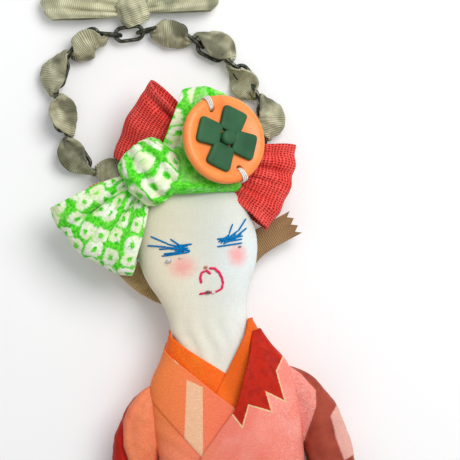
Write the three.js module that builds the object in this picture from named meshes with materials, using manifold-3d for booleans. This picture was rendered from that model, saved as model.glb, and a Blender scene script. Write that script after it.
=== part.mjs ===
// A cloth kimono doll made as a hanging charm, lying on its back.
// Millimetres. +X is the viewer's right, +Y runs from the hem to the head, and +Z points out of the
// doll's front.
// The origin is the middle of the flat back of the sash knot, which lies on the table.
import * as THREE from "three";
import { mergeVertices } from "three/addons/utils/BufferGeometryUtils.js";
import Module from "manifold-3d";

const wasm = await Module();
wasm.setup();

// Driving sizes
const bodyHeight = 156;
const hemDrop = 76;
const skirtHalfWidth = 38;
const skirtHalfDepth = 11;
const waistHeight = 20.2;
const headHeight = 91;
const headHalfWidth = 25.3;
const headHalfDepth = 10;
const headBackClearance = 9.5;
const neckDepth = 24;
const clothThickness = 1.4;
const clearance = 0.3;
const wireDiameter = 1.7;
const linkWidth = 7.4;
const ribbonWidth = 12;
const ribbonThickness = 1.6;

// Materials
const material = (colour, roughness, metalness = 0) =>
  new THREE.MeshStandardMaterial({ color: colour, roughness, metalness });
const linen = material(0xe6e0d0, 0.95);
const stuffing = material(0xeee9dd, 1);
const greenSilk = material(0x4ec22a, 0.8);
const redMesh = material(0xcf2a24, 0.85);
const orangePlastic = material(0xf28a45, 0.35);
const greenPlastic = material(0x2f5a38, 0.4);
const khakiRibbon = material(0xb5ac85, 0.75);
const brownRibbon = material(0x8d7556, 0.8);
const darkChain = material(0x37382f, 0.45, 0.8);
const orangeSilk = material(0xf56a14, 0.6);
const coralSilk = material(0xf27e58, 0.6);
const pinkSilk = material(0xf38d7d, 0.6);
const sashSilk = material(0x4d7a4a, 0.65);

// Solid helpers

const fullTurn = 2 * Math.PI;
const mergeTolerance = 1e-4;
const vector = (x, y, z) => new THREE.Vector3(x, y, z);

// A geometry from points and triangles, turned round if its faces point inwards.
function facingOut(points, index) {
  let volume = 0;
  for (let i = 0; i < index.length; i += 3) {
    const [a, b, c] = [points[index[i]], points[index[i + 1]], points[index[i + 2]]];
    volume += a.dot(b.clone().cross(c));
  }
  if (volume < 0) index.reverse();
  return new THREE.BufferGeometry().setFromPoints(points).setIndex(index);
}

// A closed solid between two point grids of the same shape. In a wrapped grid the last column joins
// the first.
function slabGeometry(outer, inner, wrapped = false) {
  const rows = outer.length;
  const columns = outer[0].length;
  const lastRow = rows - 1;
  const lastColumn = columns - 1;
  const index = [];
  const at = (layer, row, column) => (layer * rows + row) * columns + (column % columns);
  const quad = (a, b, c, d) => index.push(a, b, c, a, c, d);
  for (let column = 0; column < (wrapped ? columns : lastColumn); column++) {
    const next = column + 1;
    for (let row = 0; row < lastRow; row++) {
      quad(at(0, row, column), at(0, row, next), at(0, row + 1, next), at(0, row + 1, column));
      quad(at(1, row, column), at(1, row + 1, column), at(1, row + 1, next), at(1, row, next));
    }
    quad(at(0, 0, column), at(1, 0, column), at(1, 0, next), at(0, 0, next));
    quad(at(0, lastRow, column), at(0, lastRow, next), at(1, lastRow, next), at(1, lastRow, column));
  }
  for (let row = 0; row < (wrapped ? 0 : lastRow); row++) {
    const next = row + 1;
    quad(at(0, row, 0), at(0, next, 0), at(1, next, 0), at(1, row, 0));
    quad(at(0, row, lastColumn), at(1, row, lastColumn), at(1, next, lastColumn), at(0, next, lastColumn));
  }
  return facingOut([...outer.flat(), ...inner.flat()], index);
}

// A closed solid through rings of points. Its ends are capped from their middles, or its last ring joins
// the first.
function loftGeometry(rings, joined = false) {
  const count = rings[0].length;
  const points = rings.flat();
  const index = [];
  const spans = joined ? rings.length : rings.length - 1;
  for (let ring = 0; ring < spans; ring++) {
    const here = ring * count;
    const next = ((ring + 1) % rings.length) * count;
    for (let k = 0; k < count; k++) {
      const l = (k + 1) % count;
      index.push(here + k, here + l, next + l, here + k, next + l, next + k);
    }
  }
  if (!joined) {
    const middle = (ring) => ring.reduce((sum, p) => sum.add(p), vector(0, 0, 0)).divideScalar(count);
    const first = points.push(middle(rings[0])) - 1;
    const last = points.push(middle(rings.at(-1))) - 1;
    const lastRing = (rings.length - 1) * count;
    for (let k = 0; k < count; k++) {
      const l = (k + 1) % count;
      index.push(first, l, k, last, lastRing + k, lastRing + l);
    }
  }
  return facingOut(points, index);
}

// The geometry with its points alone, and equal points made one.
function weldedGeometry(geometry) {
  const bare = new THREE.BufferGeometry().setIndex(geometry.index);
  bare.setAttribute("position", geometry.getAttribute("position").clone());
  return mergeVertices(bare, mergeTolerance);
}

// A manifold-3d solid from a closed geometry.
function solidOf(geometry) {
  const welded = weldedGeometry(geometry);
  const mesh = new wasm.Mesh({
    numProp: 3,
    vertProperties: new Float32Array(welded.attributes.position.array),
    triVerts: new Uint32Array(welded.index.array),
  });
  return new wasm.Manifold(mesh);
}

// The largest body of a manifold-3d solid, as a geometry.
function geometryOf(solid) {
  const bodies = solid.decompose().sort((a, b) => b.volume() - a.volume());
  const { numVert, numProp, vertProperties, triVerts } = bodies[0].getMesh();
  const positions = new Float32Array(numVert * 3);
  for (let i = 0; i < numVert; i++) {
    positions.set(vertProperties.subarray(i * numProp, i * numProp + 3), i * 3);
  }
  const geometry = new THREE.BufferGeometry().setIndex(new THREE.BufferAttribute(triVerts, 1));
  return geometry.setAttribute("position", new THREE.BufferAttribute(positions, 3));
}

// The geometry with each point moved out along its normal.
function grown(geometry, distance) {
  const welded = weldedGeometry(geometry);
  welded.computeVertexNormals();
  const { position, normal } = welded.attributes;
  const place = vector(0, 0, 0);
  const out = vector(0, 0, 0);
  for (let i = 0; i < position.count; i++) {
    place.fromBufferAttribute(position, i).addScaledVector(out.fromBufferAttribute(normal, i), distance);
    position.setXYZ(i, place.x, place.y, place.z);
  }
  return welded;
}

// The geometry less its neighbours, each with the clearance round it.
const cutGrowth = 1.6 * clearance;
function clearOf(geometry, ...neighbours) {
  let solid = solidOf(geometry);
  for (const neighbour of neighbours) solid = solid.subtract(solidOf(grown(neighbour, cutGrowth)));
  return geometryOf(solid);
}

// Smooth values between table rows whose first entry is the place along the table.
function smoothTable(table) {
  const places = table.map((row) => row[0]);
  const size = table[0].length - 1;
  const values = table.flatMap((row) => row.slice(1));
  const between = new THREE.CubicInterpolant(places, values, size, new Float32Array(size));
  return (place) => Array.from(between.evaluate(THREE.MathUtils.clamp(place, places[0], places.at(-1))));
}

// A straight-line blend between table rows of [place, value].
function ramp(table, place) {
  if (place <= table[0][0]) return table[0][1];
  for (let i = 1; i < table.length; i++) {
    if (place <= table[i][0]) {
      const share = (place - table[i - 1][0]) / (table[i][0] - table[i - 1][0]);
      return THREE.MathUtils.lerp(table[i - 1][1], table[i][1], share);
    }
  }
  return table.at(-1)[1];
}

// A point on a rounded box outline at an angle, as shares of its half width and half depth.
function roundedPoint(angle, squareness) {
  const power = 2 / squareness;
  const c = Math.cos(angle);
  const s = Math.sin(angle);
  return [Math.sign(c) * Math.abs(c) ** power, Math.sign(s) * Math.abs(s) ** power];
}

// A ring of points round a centre, with its half sizes along two directions.
function ringAt({ centre, across, normal, halfWidth, halfDepth, sides, squareness, swell = () => 1 }) {
  const ring = [];
  for (let k = 0; k < sides; k++) {
    const [u, v] = roundedPoint((k / sides) * fullTurn, squareness);
    const point = centre.clone().addScaledVector(across, u * halfWidth);
    ring.push(point.addScaledVector(normal, v * halfDepth * swell(u, v)));
  }
  return ring;
}

// A soft stuffed or folded piece along a path. The profile rows are [share along, width, depth].
// Its folds run along the path, on the side that faces up.
const bolsterSquareness = 2.4;
function bolsterGeometry({ path, profile, steps, sides, folds = 0, foldShare = 0 }) {
  const curve = new THREE.CatmullRomCurve3(path);
  const widths = profile.map(([share, width]) => [share, width]);
  const depths = profile.map(([share, , depth]) => [share, depth]);
  const swell = (u, v) => 1 + (v > 0 ? foldShare * Math.cos(folds * Math.PI * u) : 0);
  const rings = [];
  for (let step = 0; step <= steps; step++) {
    const share = step / steps;
    const tangent = curve.getTangentAt(share);
    const across = tangent.clone().cross(vector(0, 0, 1)).normalize();
    const normal = across.clone().cross(tangent).normalize();
    const halfWidth = ramp(widths, share) / 2;
    const halfDepth = ramp(depths, share) / 2;
    const centre = curve.getPointAt(share);
    const size = { halfWidth, halfDepth, sides, squareness: bolsterSquareness, swell };
    rings.push(ringAt({ centre, across, normal, ...size }));
  }
  return loftGeometry(rings);
}

// A folded loop of cloth that leaves its root, turns at its tip and comes back.
// Its roll is the turn of its width about its own length, from level to upright.
const loopColumns = 4;
const loopSteps = 16;
const loopRootShare = 0.36;
const loopWidening = 0.8;
const pleatFading = 0.6;
function foldedLoopGeometry(loop) {
  const { root, tip, rootWidth, tipWidth, height, thickness, bulge, roll, pleats, pleatDepth } = loop;
  const along = tip.clone().sub(root);
  const length = along.length();
  along.normalize();
  const across = along.clone().cross(vector(0, 0, 1)).normalize().applyAxisAngle(along, roll);
  const up = across.clone().cross(along).normalize();
  const rings = [];
  for (let i = 0; i < loopSteps; i++) {
    const turn = (i / loopSteps) * fullTurn;
    const share = (1 - Math.cos(turn)) / 2;
    const opened = THREE.MathUtils.lerp(loopRootShare, 1, share);
    const layer = (-Math.sin(turn) * height * opened) / 2;
    const outward = new THREE.Vector2(-Math.cos(turn), -Math.sin(turn) * (1 + loopRootShare)).normalize();
    const halfWidth = THREE.MathUtils.lerp(rootWidth, tipWidth, share ** loopWidening) / 2;
    const ring = [];
    for (const face of [1, -1]) {
      for (let column = 0; column <= loopColumns; column++) {
        const u = face * ((2 * column) / loopColumns - 1);
        const ripple = pleatDepth * (1 - pleatFading * share) * Math.cos(pleats * Math.PI * u);
        const off = ripple + (face * thickness) / 2;
        const reach = share * length + bulge * (1 - u * u) * share + outward.x * off;
        const point = root.clone().addScaledVector(along, reach).addScaledVector(across, u * halfWidth);
        ring.push(point.addScaledVector(up, layer + outward.y * off));
      }
    }
    rings.push(ring);
  }
  return loftGeometry(rings, true);
}

// Body form
// Rows are [share of body height, half width share, half depth share, middle height share].
const hemY = -hemDrop;
const neckY = hemY + bodyHeight;
const yOf = (share) => hemY + share * bodyHeight;
const shareOf = (y) => (y - hemY) / bodyHeight;
const bodyShares = [
  [0, 1, 1, 0.66],
  [0.12, 0.94, 0.99, 0.71],
  [0.3, 0.82, 0.95, 0.87],
  [0.42, 0.71, 0.88, 1],
  [0.56, 0.7, 0.87, 1],
  [0.7, 0.74, 0.92, 0.98],
  [0.82, 0.74, 0.92, 0.97],
  [0.88, 0.68, 0.89, 0.965],
  [0.93, 0.55, 0.83, 0.965],
  [0.965, 0.475, 0.78, 0.965],
  [1, 0.42, 0.72, 0.965],
];
const bodyAt = smoothTable(bodyShares);
const bodySquareness = 2.3;

// A point of the dressed body at a height y, an angle round it from +X towards the front, and a distance
// off its skin.
function bodyPoint(y, angle, off) {
  const [width, depth, middle] = bodyAt(shareOf(y));
  const [x, z] = roundedPoint(angle, bodySquareness);
  const height = middle * waistHeight + z * (depth * skirtHalfDepth + off);
  return vector(x * (width * skirtHalfWidth + off), y, height);
}

// The angle at which the front of the body has a given x.
function frontAngle(y, x, off) {
  const [width] = bodyAt(shareOf(y));
  const share = THREE.MathUtils.clamp(x / (width * skirtHalfWidth + off), -1, 1);
  return Math.acos(Math.sign(share) * Math.abs(share) ** (bodySquareness / 2));
}

// A layer of cloth on the body. The spans give, at a height, the angles where it starts and ends,
// and the lift gives how far a fold raises it at a height and an angle.
const noLift = () => 0;
function wrapGeometry({ bottom, top, rows, columns, layer, spans, lift = noLift }) {
  const outer = [];
  const inner = [];
  for (let row = 0; row <= rows; row++) {
    const y = THREE.MathUtils.lerp(bottom, top, row / rows);
    const [from, to] = spans(y);
    const angleAt = (k) => THREE.MathUtils.lerp(from, to, k / columns);
    const angles = Array.from({ length: columns + 1 }, (_, k) => angleAt(k));
    inner.push(angles.map((angle) => bodyPoint(y, angle, layer + lift(y, angle))));
    outer.push(angles.map((angle) => bodyPoint(y, angle, layer + lift(y, angle) + clothThickness)));
  }
  return slabGeometry(outer, inner);
}

// Layers of cloth from the skin outwards
const firstLayer = clearance + 0.2 * clothThickness;
const secondLayer = firstLayer + clothThickness + clearance;
const sashLayer = secondLayer + clothThickness + 2 * clearance;

// Head and neck, one stuffed linen form
// Rows are [share of head height, half width share, half depth share].
const headBottom = neckY - neckDepth;
const crownY = headBottom + headHeight;
const headMiddle = headBackClearance + headHalfDepth;
const headShares = [
  [0, 0.58, 0.84],
  [0.12, 0.62, 0.83],
  [0.26, 0.64, 0.8],
  [0.34, 0.67, 0.83],
  [0.42, 0.76, 0.89],
  [0.52, 0.92, 0.97],
  [0.63, 1, 1],
  [0.73, 0.96, 1],
  [0.82, 0.85, 0.95],
  [0.9, 0.66, 0.83],
  [0.96, 0.42, 0.62],
  [1, 0.12, 0.22],
];
const headAt = smoothTable(headShares);
const headSquareness = 2.2;
const headRings = 16;
const headSides = 20;
function headGeometry() {
  const rings = [];
  for (let i = 0; i <= headRings; i++) {
    const share = i / headRings;
    const [width, depth] = headAt(share);
    rings.push(
      ringAt({
        centre: vector(0, headBottom + share * headHeight, headMiddle),
        across: vector(1, 0, 0),
        normal: vector(0, 0, 1),
        halfWidth: width * headHalfWidth,
        halfDepth: depth * headHalfDepth,
        sides: headSides,
        squareness: headSquareness,
      }),
    );
  }
  return loftGeometry(rings);
}
const head = headGeometry();

// A place on the head in shares of its half width across and above the crown, and of its half depth
// to the front.
const onHead = (across, up, front) =>
  vector(across * headHalfWidth, crownY + up * headHalfWidth, headMiddle + front * headHalfDepth);

// Stuffed torso inside the kimono, on the same rows as its cloth
const kimonoNeckDrop = 4;
const kimonoTop = neckY - kimonoNeckDrop;
const kimonoRows = 13;
const torsoSides = 24;
const torsoEase = 0.8;
function bodyForm(firstRow, lastRow, off) {
  const rings = [];
  for (let row = firstRow; row <= lastRow; row++) {
    const y = THREE.MathUtils.lerp(hemY, kimonoTop, row / kimonoRows);
    const pointAt = (k) => bodyPoint(y, (k / torsoSides) * fullTurn, off);
    rings.push(Array.from({ length: torsoSides }, (_, k) => pointAt(k)));
  }
  return loftGeometry(rings);
}
const torso = clearOf(bodyForm(1, kimonoRows - 1, -torsoEase), head);

// Sash round the waist, and its flat folded knot at the back
const sashHeight = 34;
const sashThickness = 1.8;
const sashRows = 4;
const sashColumns = 28;
function sashGeometry() {
  const grid = (off) =>
    Array.from({ length: sashRows + 1 }, (_, row) => {
      const y = (row / sashRows - 0.5) * sashHeight;
      return Array.from({ length: sashColumns }, (_, k) => bodyPoint(y, (k / sashColumns) * fullTurn, off));
    });
  return slabGeometry(grid(sashLayer + sashThickness), grid(sashLayer), true);
}
const sash = sashGeometry();

const knotWidth = 36;
const knotHeight = 40;
const knotEdge = 1.2;
function sashKnotGeometry() {
  const shape = new THREE.Shape();
  shape.moveTo(-knotWidth / 2, -knotHeight / 2);
  shape.lineTo(knotWidth / 2, -knotHeight / 2);
  shape.lineTo(knotWidth / 2, knotHeight / 2);
  shape.lineTo(-knotWidth / 2, knotHeight / 2);
  shape.closePath();
  const sashBack = bodyPoint(0, 0.75 * fullTurn, sashLayer + sashThickness).z;
  const block = new THREE.ExtrudeGeometry(shape, {
    depth: sashBack + 2 * sashThickness - knotEdge,
    bevelThickness: knotEdge,
    bevelSize: -knotEdge,
    bevelSegments: 1,
  });
  return block.translate(0, 0, knotEdge);
}

// Kimono
// Edge tables are [height share of the body, x share of the skirt's half width].
const edgeOf = (shares) => (y) => ramp(shares, shareOf(y)) * skirtHalfWidth;
const underEdgeShares = [
  [0, 0.5],
  [0.7, 0.42],
  [0.815, 0.22],
  [0.965, -0.47],
  [1, -0.49],
];
const overEdgeShares = [
  [0, -0.62],
  [0.55, -0.55],
  [0.68, -0.27],
  [0.815, 0.13],
  [0.87, 0.28],
  [0.945, 0.47],
  [1, 0.49],
];
const underEdge = edgeOf(underEdgeShares);
const overEdge = edgeOf(overEdgeShares);
const sideTurn = 0.12;
const sideColumns = 12;
const backColumns = 14;
const kimonoPanel = (panel) => wrapGeometry({ bottom: hemY, top: kimonoTop, rows: kimonoRows, ...panel });

// Folds of the over panel: they slant over the chest and fall straight down the skirt, and the sash
// flattens them.
const overColumns = 20;
const foldLift = 1.5;
const foldCount = 3.5;
const chestSlant = 5;
function overLift(y, angle) {
  const away = Math.abs(y) - sashHeight / 2 - foldLift;
  const fromSide = THREE.MathUtils.smoothstep(angle, 0, 0.5);
  const open = THREE.MathUtils.smoothstep(away, 0, sashHeight / 2) * fromSide;
  const slant = y > 0 ? chestSlant * shareOf(y) : 0;
  return (foldLift * open * (1 + Math.cos(fullTurn * foldCount * (angle / Math.PI) + slant))) / 2;
}
const backPanel = kimonoPanel({
  columns: backColumns,
  layer: firstLayer,
  spans: () => [Math.PI + 2 * sideTurn, fullTurn - 2 * sideTurn],
});
const underPanelForm = kimonoPanel({
  columns: sideColumns,
  layer: firstLayer,
  spans: (y) => [frontAngle(y, underEdge(y), firstLayer), Math.PI + sideTurn],
});
const overPanelForm = kimonoPanel({
  columns: overColumns,
  layer: secondLayer,
  spans: (y) => [-sideTurn, frontAngle(y, overEdge(y), secondLayer)],
  lift: overLift,
});
const underPanel = clearOf(underPanelForm, head, backPanel);
const overPanel = clearOf(overPanelForm, head, backPanel, underPanelForm);
const sashKnot = clearOf(sashKnotGeometry(), sash, backPanel);

// Inner collar, two bands that cross at the throat. Its side is the way that its edge faces.
const collarWidth = 7;
const collarRise = 1;
const collarBottom = yOf(0.815);
const collarRows = 7;
const collarColumns = 3;
function collarBand(edge, layer, side) {
  return wrapGeometry({
    bottom: collarBottom,
    top: neckY + collarRise,
    rows: collarRows,
    columns: collarColumns,
    layer,
    spans: (y) => {
      const near = frontAngle(y, edge(y) - side * clearance * 2, layer);
      const far = frontAngle(y, edge(y) - side * collarWidth, layer);
      return side > 0 ? [near, far] : [far, near];
    },
  });
}
const collarUnderForm = collarBand(underEdge, firstLayer, -1);
const collarOverForm = collarBand(overEdge, secondLayer, 1);
const collarUnder = clearOf(collarUnderForm, head, overPanelForm, underPanelForm);
const collarOver = clearOf(collarOverForm, head, overPanelForm, underPanelForm, collarUnderForm);

// Sleeves, soft bags of cloth sewn along the shoulders
const sleeveTop = yOf(0.855);
const sleeveDrop = 73.5;
const sleeveWidth = 20;
const sleeveDepth = 14;
const sleeveReach = 43;
const sleeveShoulder = 26;
const sleeveFoldShare = 0.1;
function sleeveGeometry(side) {
  const at = (outShare, downShare, height) => {
    const x = THREE.MathUtils.lerp(sleeveShoulder, sleeveReach, outShare);
    return vector(side * x, sleeveTop - downShare * sleeveDrop, height);
  };
  return bolsterGeometry({
    path: [
      at(0, 0, 0.93 * waistHeight),
      at(0.5, 0.17, 0.88 * waistHeight),
      at(0.87, 0.46, 0.68 * waistHeight),
      at(1, 1, sleeveDepth / 2),
    ],
    profile: [
      [0, 0.3 * sleeveWidth, 0.4 * sleeveDepth],
      [0.06, 0.5 * sleeveWidth, 0.62 * sleeveDepth],
      [0.15, 0.76 * sleeveWidth, 0.9 * sleeveDepth],
      [0.3, 0.96 * sleeveWidth, 1.05 * sleeveDepth],
      [0.6, sleeveWidth, 1.06 * sleeveDepth],
      [0.93, 1.06 * sleeveWidth, 0.9 * sleeveDepth],
      [1, 0.98 * sleeveWidth, 0.6 * sleeveDepth],
    ],
    steps: 12,
    sides: 14,
    folds: 3,
    foldShare: sleeveFoldShare,
  });
}
const dressedForm = (layer) => bodyForm(0, kimonoRows, layer + clothThickness);
const sleeveLeft = clearOf(sleeveGeometry(-1), dressedForm(firstLayer), underPanelForm, sash);
const sleeveRight = clearOf(sleeveGeometry(1), dressedForm(secondLayer), overPanelForm, sash);

// Green dotted head scarf: a band round the crown, a knot, a side loop and a fold that stands up
const bandDrop = 0.08 * headHalfWidth;
const bandGirthDrop = 0.34 * headHalfWidth;
const bandRiseShare = -0.13;
const bandLeanShare = 0.62;
const bandWidth = 0.8 * headHalfWidth;
const bandThickness = 0.64 * headHalfDepth;
const bandSteps = 22;
const bandSides = 8;
const bandSquareness = 2.6;
function bandGeometry() {
  const bandY = crownY - bandDrop;
  const [width, depth] = headAt((crownY - bandGirthDrop - headBottom) / headHeight);
  const rings = [];
  for (let i = 0; i < bandSteps; i++) {
    const [x, z] = roundedPoint((i / bandSteps) * fullTurn, headSquareness);
    const reach = x * width * headHalfWidth;
    const out = vector(x / width, 0, z).normalize();
    const across = vector(0, 1, 0).addScaledVector(out, -bandLeanShare).normalize();
    rings.push(
      ringAt({
        centre: vector(reach, bandY + bandRiseShare * reach, headMiddle + z * depth * headHalfDepth),
        across,
        normal: across.clone().cross(out.clone().cross(across)).normalize(),
        halfWidth: bandWidth / 2,
        halfDepth: bandThickness / 2,
        sides: bandSides,
        squareness: bandSquareness,
      }),
    );
  }
  return loftGeometry(rings, true);
}
const bandForm = bandGeometry();
const band = clearOf(bandForm, head);

const scarfKnotWidth = 0.86 * headHalfWidth;
const scarfKnotDepth = 1.5 * headHalfDepth;
const scarfKnotForm = bolsterGeometry({
  path: [onHead(-0.77, 0.44, 0.7), onHead(-0.55, 0.06, 0.9), onHead(-0.28, -0.35, 0.8)],
  profile: [
    [0, 0.38 * scarfKnotWidth, 0.44 * scarfKnotDepth],
    [0.15, 0.81 * scarfKnotWidth, 0.81 * scarfKnotDepth],
    [0.5, scarfKnotWidth, scarfKnotDepth],
    [0.85, 0.81 * scarfKnotWidth, 0.81 * scarfKnotDepth],
    [1, 0.43 * scarfKnotWidth, 0.44 * scarfKnotDepth],
  ],
  steps: 10,
  sides: 14,
  folds: 3,
  foldShare: 0.08,
});

const scarfWidth = 42;
const scarfThickness = 1.6;
const sideLoopForm = foldedLoopGeometry({
  root: onHead(-0.83, -0.158, 0.5),
  tip: onHead(-1.72, -0.949, 0.3),
  rootWidth: 0.29 * scarfWidth,
  tipWidth: scarfWidth,
  height: 0.4 * scarfWidth,
  thickness: scarfThickness,
  bulge: 0.14 * scarfWidth,
  roll: 0,
  pleats: 3,
  pleatDepth: 0.5 * scarfThickness,
});
const upperFoldForm = foldedLoopGeometry({
  root: onHead(0.42, 0.12, 0.5),
  tip: onHead(0.46, 1.13, 0.5),
  rootWidth: 0.58 * scarfWidth,
  tipWidth: 0.54 * scarfWidth,
  height: 0.22 * scarfWidth,
  thickness: scarfThickness,
  bulge: 0.1 * scarfWidth,
  roll: 0,
  pleats: 3,
  pleatDepth: 0.44 * scarfThickness,
});

// Button with a raised rim and two holes, tilted on the scarf
const buttonRadius = 18.6;
const buttonThickness = 3.2;
const rimHeight = 1;
const rimWidth = 2.6;
const rimRound = 1;
const buttonHoleRadius = 1.5;
const buttonHoleReach = 13.6;
const buttonSegments = 32;
const holeSegments = 12;
const buttonTop = buttonThickness + rimHeight;
const buttonSpinAngle = -1.27;
const buttonTiltAngle = -0.5;
const buttonTiltAxis = vector(Math.cos(1.41), -Math.sin(1.41), 0);
function buttonDisc() {
  const outer = buttonRadius;
  const profile = [
    [0, 0],
    [outer - rimRound, 0],
    [outer - 0.3 * rimRound, 0.3 * rimRound],
    [outer, rimRound],
    [outer, buttonTop - rimRound],
    [outer - 0.3 * rimRound, buttonTop - 0.3 * rimRound],
    [outer - rimRound, buttonTop],
    [outer - rimWidth, buttonTop],
    [outer - rimWidth - rimRound, buttonTop - 0.4 * rimHeight],
    [outer - rimWidth - 2 * rimRound, buttonThickness],
    [0, buttonThickness],
  ];
  const disc = new THREE.LatheGeometry(profile.map(([x, y]) => new THREE.Vector2(x, y)), buttonSegments);
  return disc.rotateX(Math.PI / 2);
}
function drilled(disc) {
  let solid = solidOf(disc);
  for (const side of [-1, 1]) {
    const drillSize = [buttonHoleRadius, buttonHoleRadius, 4 * buttonTop];
    const drill = new THREE.CylinderGeometry(...drillSize, holeSegments);
    drill.rotateX(Math.PI / 2).translate(side * buttonHoleReach, 0, 0);
    solid = solid.subtract(solidOf(drill));
  }
  return geometryOf(solid);
}
function placeOnButton(geometry) {
  const tilt = new THREE.Matrix4().makeRotationAxis(buttonTiltAxis, buttonTiltAngle);
  const place = onHead(0.68, 0.36, 1.2);
  return geometry.rotateZ(buttonSpinAngle).applyMatrix4(tilt).translate(place.x, place.y, place.z);
}
const buttonForm = placeOnButton(buttonDisc());
const button = placeOnButton(drilled(buttonDisc()));

// Flower with four rounded petals and a domed middle
const petalCount = 4;
const petalSize = 10.6;
const petalCorner = 0.2 * petalSize;
const petalReach = 8;
const flowerThickness = 2;
const petalBevel = 0.2 * flowerThickness;
const domeRadius = 2.9;
const domeShare = 0.8;
function petalShape() {
  const half = petalSize / 2;
  const straight = half - petalCorner;
  const petal = new THREE.Shape();
  petal.moveTo(-straight, -half);
  petal.lineTo(straight, -half);
  petal.quadraticCurveTo(half, -half, half, -straight);
  petal.lineTo(half, straight);
  petal.quadraticCurveTo(half, half, straight, half);
  petal.lineTo(-straight, half);
  petal.quadraticCurveTo(-half, half, -half, straight);
  petal.lineTo(-half, -straight);
  petal.quadraticCurveTo(-half, -half, -straight, -half);
  return petal;
}
function flowerGeometry() {
  const dome = new THREE.SphereGeometry(domeRadius, 12, 6);
  dome.rotateX(Math.PI / 2).scale(1, 1, domeShare).translate(0, 0, domeShare * domeRadius);
  let solid = solidOf(dome);
  for (let k = 0; k < petalCount; k++) {
    const petal = new THREE.ExtrudeGeometry(petalShape(), {
      depth: flowerThickness - 2 * petalBevel,
      bevelThickness: petalBevel,
      bevelSize: petalBevel,
      bevelOffset: -petalBevel,
      bevelSegments: 1,
      curveSegments: 2,
    });
    petal.translate(petalReach, 0, petalBevel).rotateZ(((k + 0.5) / petalCount) * fullTurn);
    solid = solid.add(solidOf(petal));
  }
  return geometryOf(solid);
}
const flower = placeOnButton(flowerGeometry().translate(0, 0, buttonThickness + clearance));

// Fitted scarf pieces
const scarfKnot = clearOf(scarfKnotForm, head, bandForm, buttonForm);
const sideLoop = clearOf(sideLoopForm, head, bandForm, scarfKnotForm);
const upperFold = clearOf(upperFoldForm, head, bandForm, scarfKnotForm, buttonForm);

// Red mesh bow behind the scarf
const redWidth = 38;
const redThickness = 1.3;
const redLoopLeftForm = foldedLoopGeometry({
  root: onHead(0.16, 0.32, -0.3),
  tip: onHead(-0.72, 0.96, -0.2),
  rootWidth: 0.4 * redWidth,
  tipWidth: 0.94 * redWidth,
  height: 0.42 * redWidth,
  thickness: redThickness,
  bulge: 0.08 * redWidth,
  roll: 0.2,
  pleats: 2,
  pleatDepth: 0.4 * redThickness,
});
const redLoopRightForm = foldedLoopGeometry({
  root: onHead(0.593, -0.04, -0.3),
  tip: onHead(1.52, -0.53, -0.3),
  rootWidth: 0.32 * redWidth,
  tipWidth: redWidth,
  height: 0.36 * redWidth,
  thickness: redThickness,
  bulge: 0.1 * redWidth,
  roll: -0.15,
  pleats: 2,
  pleatDepth: 0.45 * redThickness,
});
const scarfForms = [head, bandForm, scarfKnotForm, sideLoopForm, upperFoldForm];
const redLoopLeft = clearOf(redLoopLeftForm, ...scarfForms, buttonForm);
const redLoopRight = clearOf(redLoopRightForm, ...scarfForms, buttonForm, redLoopLeftForm);

// Brown ribbon tied behind the head, one length with a loop on one side and a zigzag-cut tail on the other
const backRibbonWidth = 10;
const backRibbonThickness = 1.3;
const backRibbonRise = 0.363 * headHeight;
const backRibbonHeight = headBackClearance - clearance - 0.8 * backRibbonThickness;
const backLoopLength = 30;
const backLoopDrop = 13;
const backLoopHeight = 3.6;
const backTailLength = 43;
const backTailRise = 5.5;
const backRibbonTeeth = 3;
const backRibbonRows = 24;
function backRibbonRoute() {
  const at = (x, rise, sink) => vector(x, neckY + backRibbonRise + rise, backRibbonHeight - sink);
  const onLoop = (share, sinkShare) =>
    at(-share * backLoopLength, -share * backLoopDrop, sinkShare * backLoopHeight);
  const onTail = (share) => at(share * backTailLength, share * backTailRise, 0);
  return new THREE.CatmullRomCurve3([
    at(0.1 * backTailLength, 0, 0.7 * backLoopHeight),
    onLoop(0.4, 0.95),
    onLoop(0.88, 1),
    onLoop(1, 0.5),
    onLoop(0.88, 0),
    onLoop(0.4, 0),
    onTail(0.1),
    onTail(0.5),
    onTail(1),
  ]);
}
function backRibbonGeometry() {
  const route = backRibbonRoute();
  const loopAcross = vector(-backLoopDrop, backLoopLength, 0).normalize();
  const tailAcross = vector(-backTailRise, backTailLength, 0).normalize();
  const columns = 2 * backRibbonTeeth;
  const faces = [[], []];
  for (let row = 0; row <= backRibbonRows; row++) {
    const centre = route.getPointAt(row / backRibbonRows);
    const tangent = route.getTangentAt(row / backRibbonRows);
    const tailShare = THREE.MathUtils.smoothstep(centre.x, -0.4 * backLoopLength, 0.5 * backTailLength);
    const across = loopAcross.clone().lerp(tailAcross, tailShare).normalize();
    const normal = across.clone().cross(tangent).normalize();
    const tooth = row === backRibbonRows ? 0.25 * backRibbonWidth : 0;
    faces.forEach((face, side) => {
      const line = Array.from({ length: columns + 1 }, (_, column) => {
        const point = centre.clone().addScaledVector(across, (column / columns - 0.5) * backRibbonWidth);
        point.addScaledVector(tangent, column % 2 === 0 ? tooth : 0);
        return point.addScaledVector(normal, (side - 0.5) * backRibbonThickness);
      });
      face.push(line);
    });
  }
  return slabGeometry(...faces);
}
const backRibbon = backRibbonGeometry();

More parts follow.
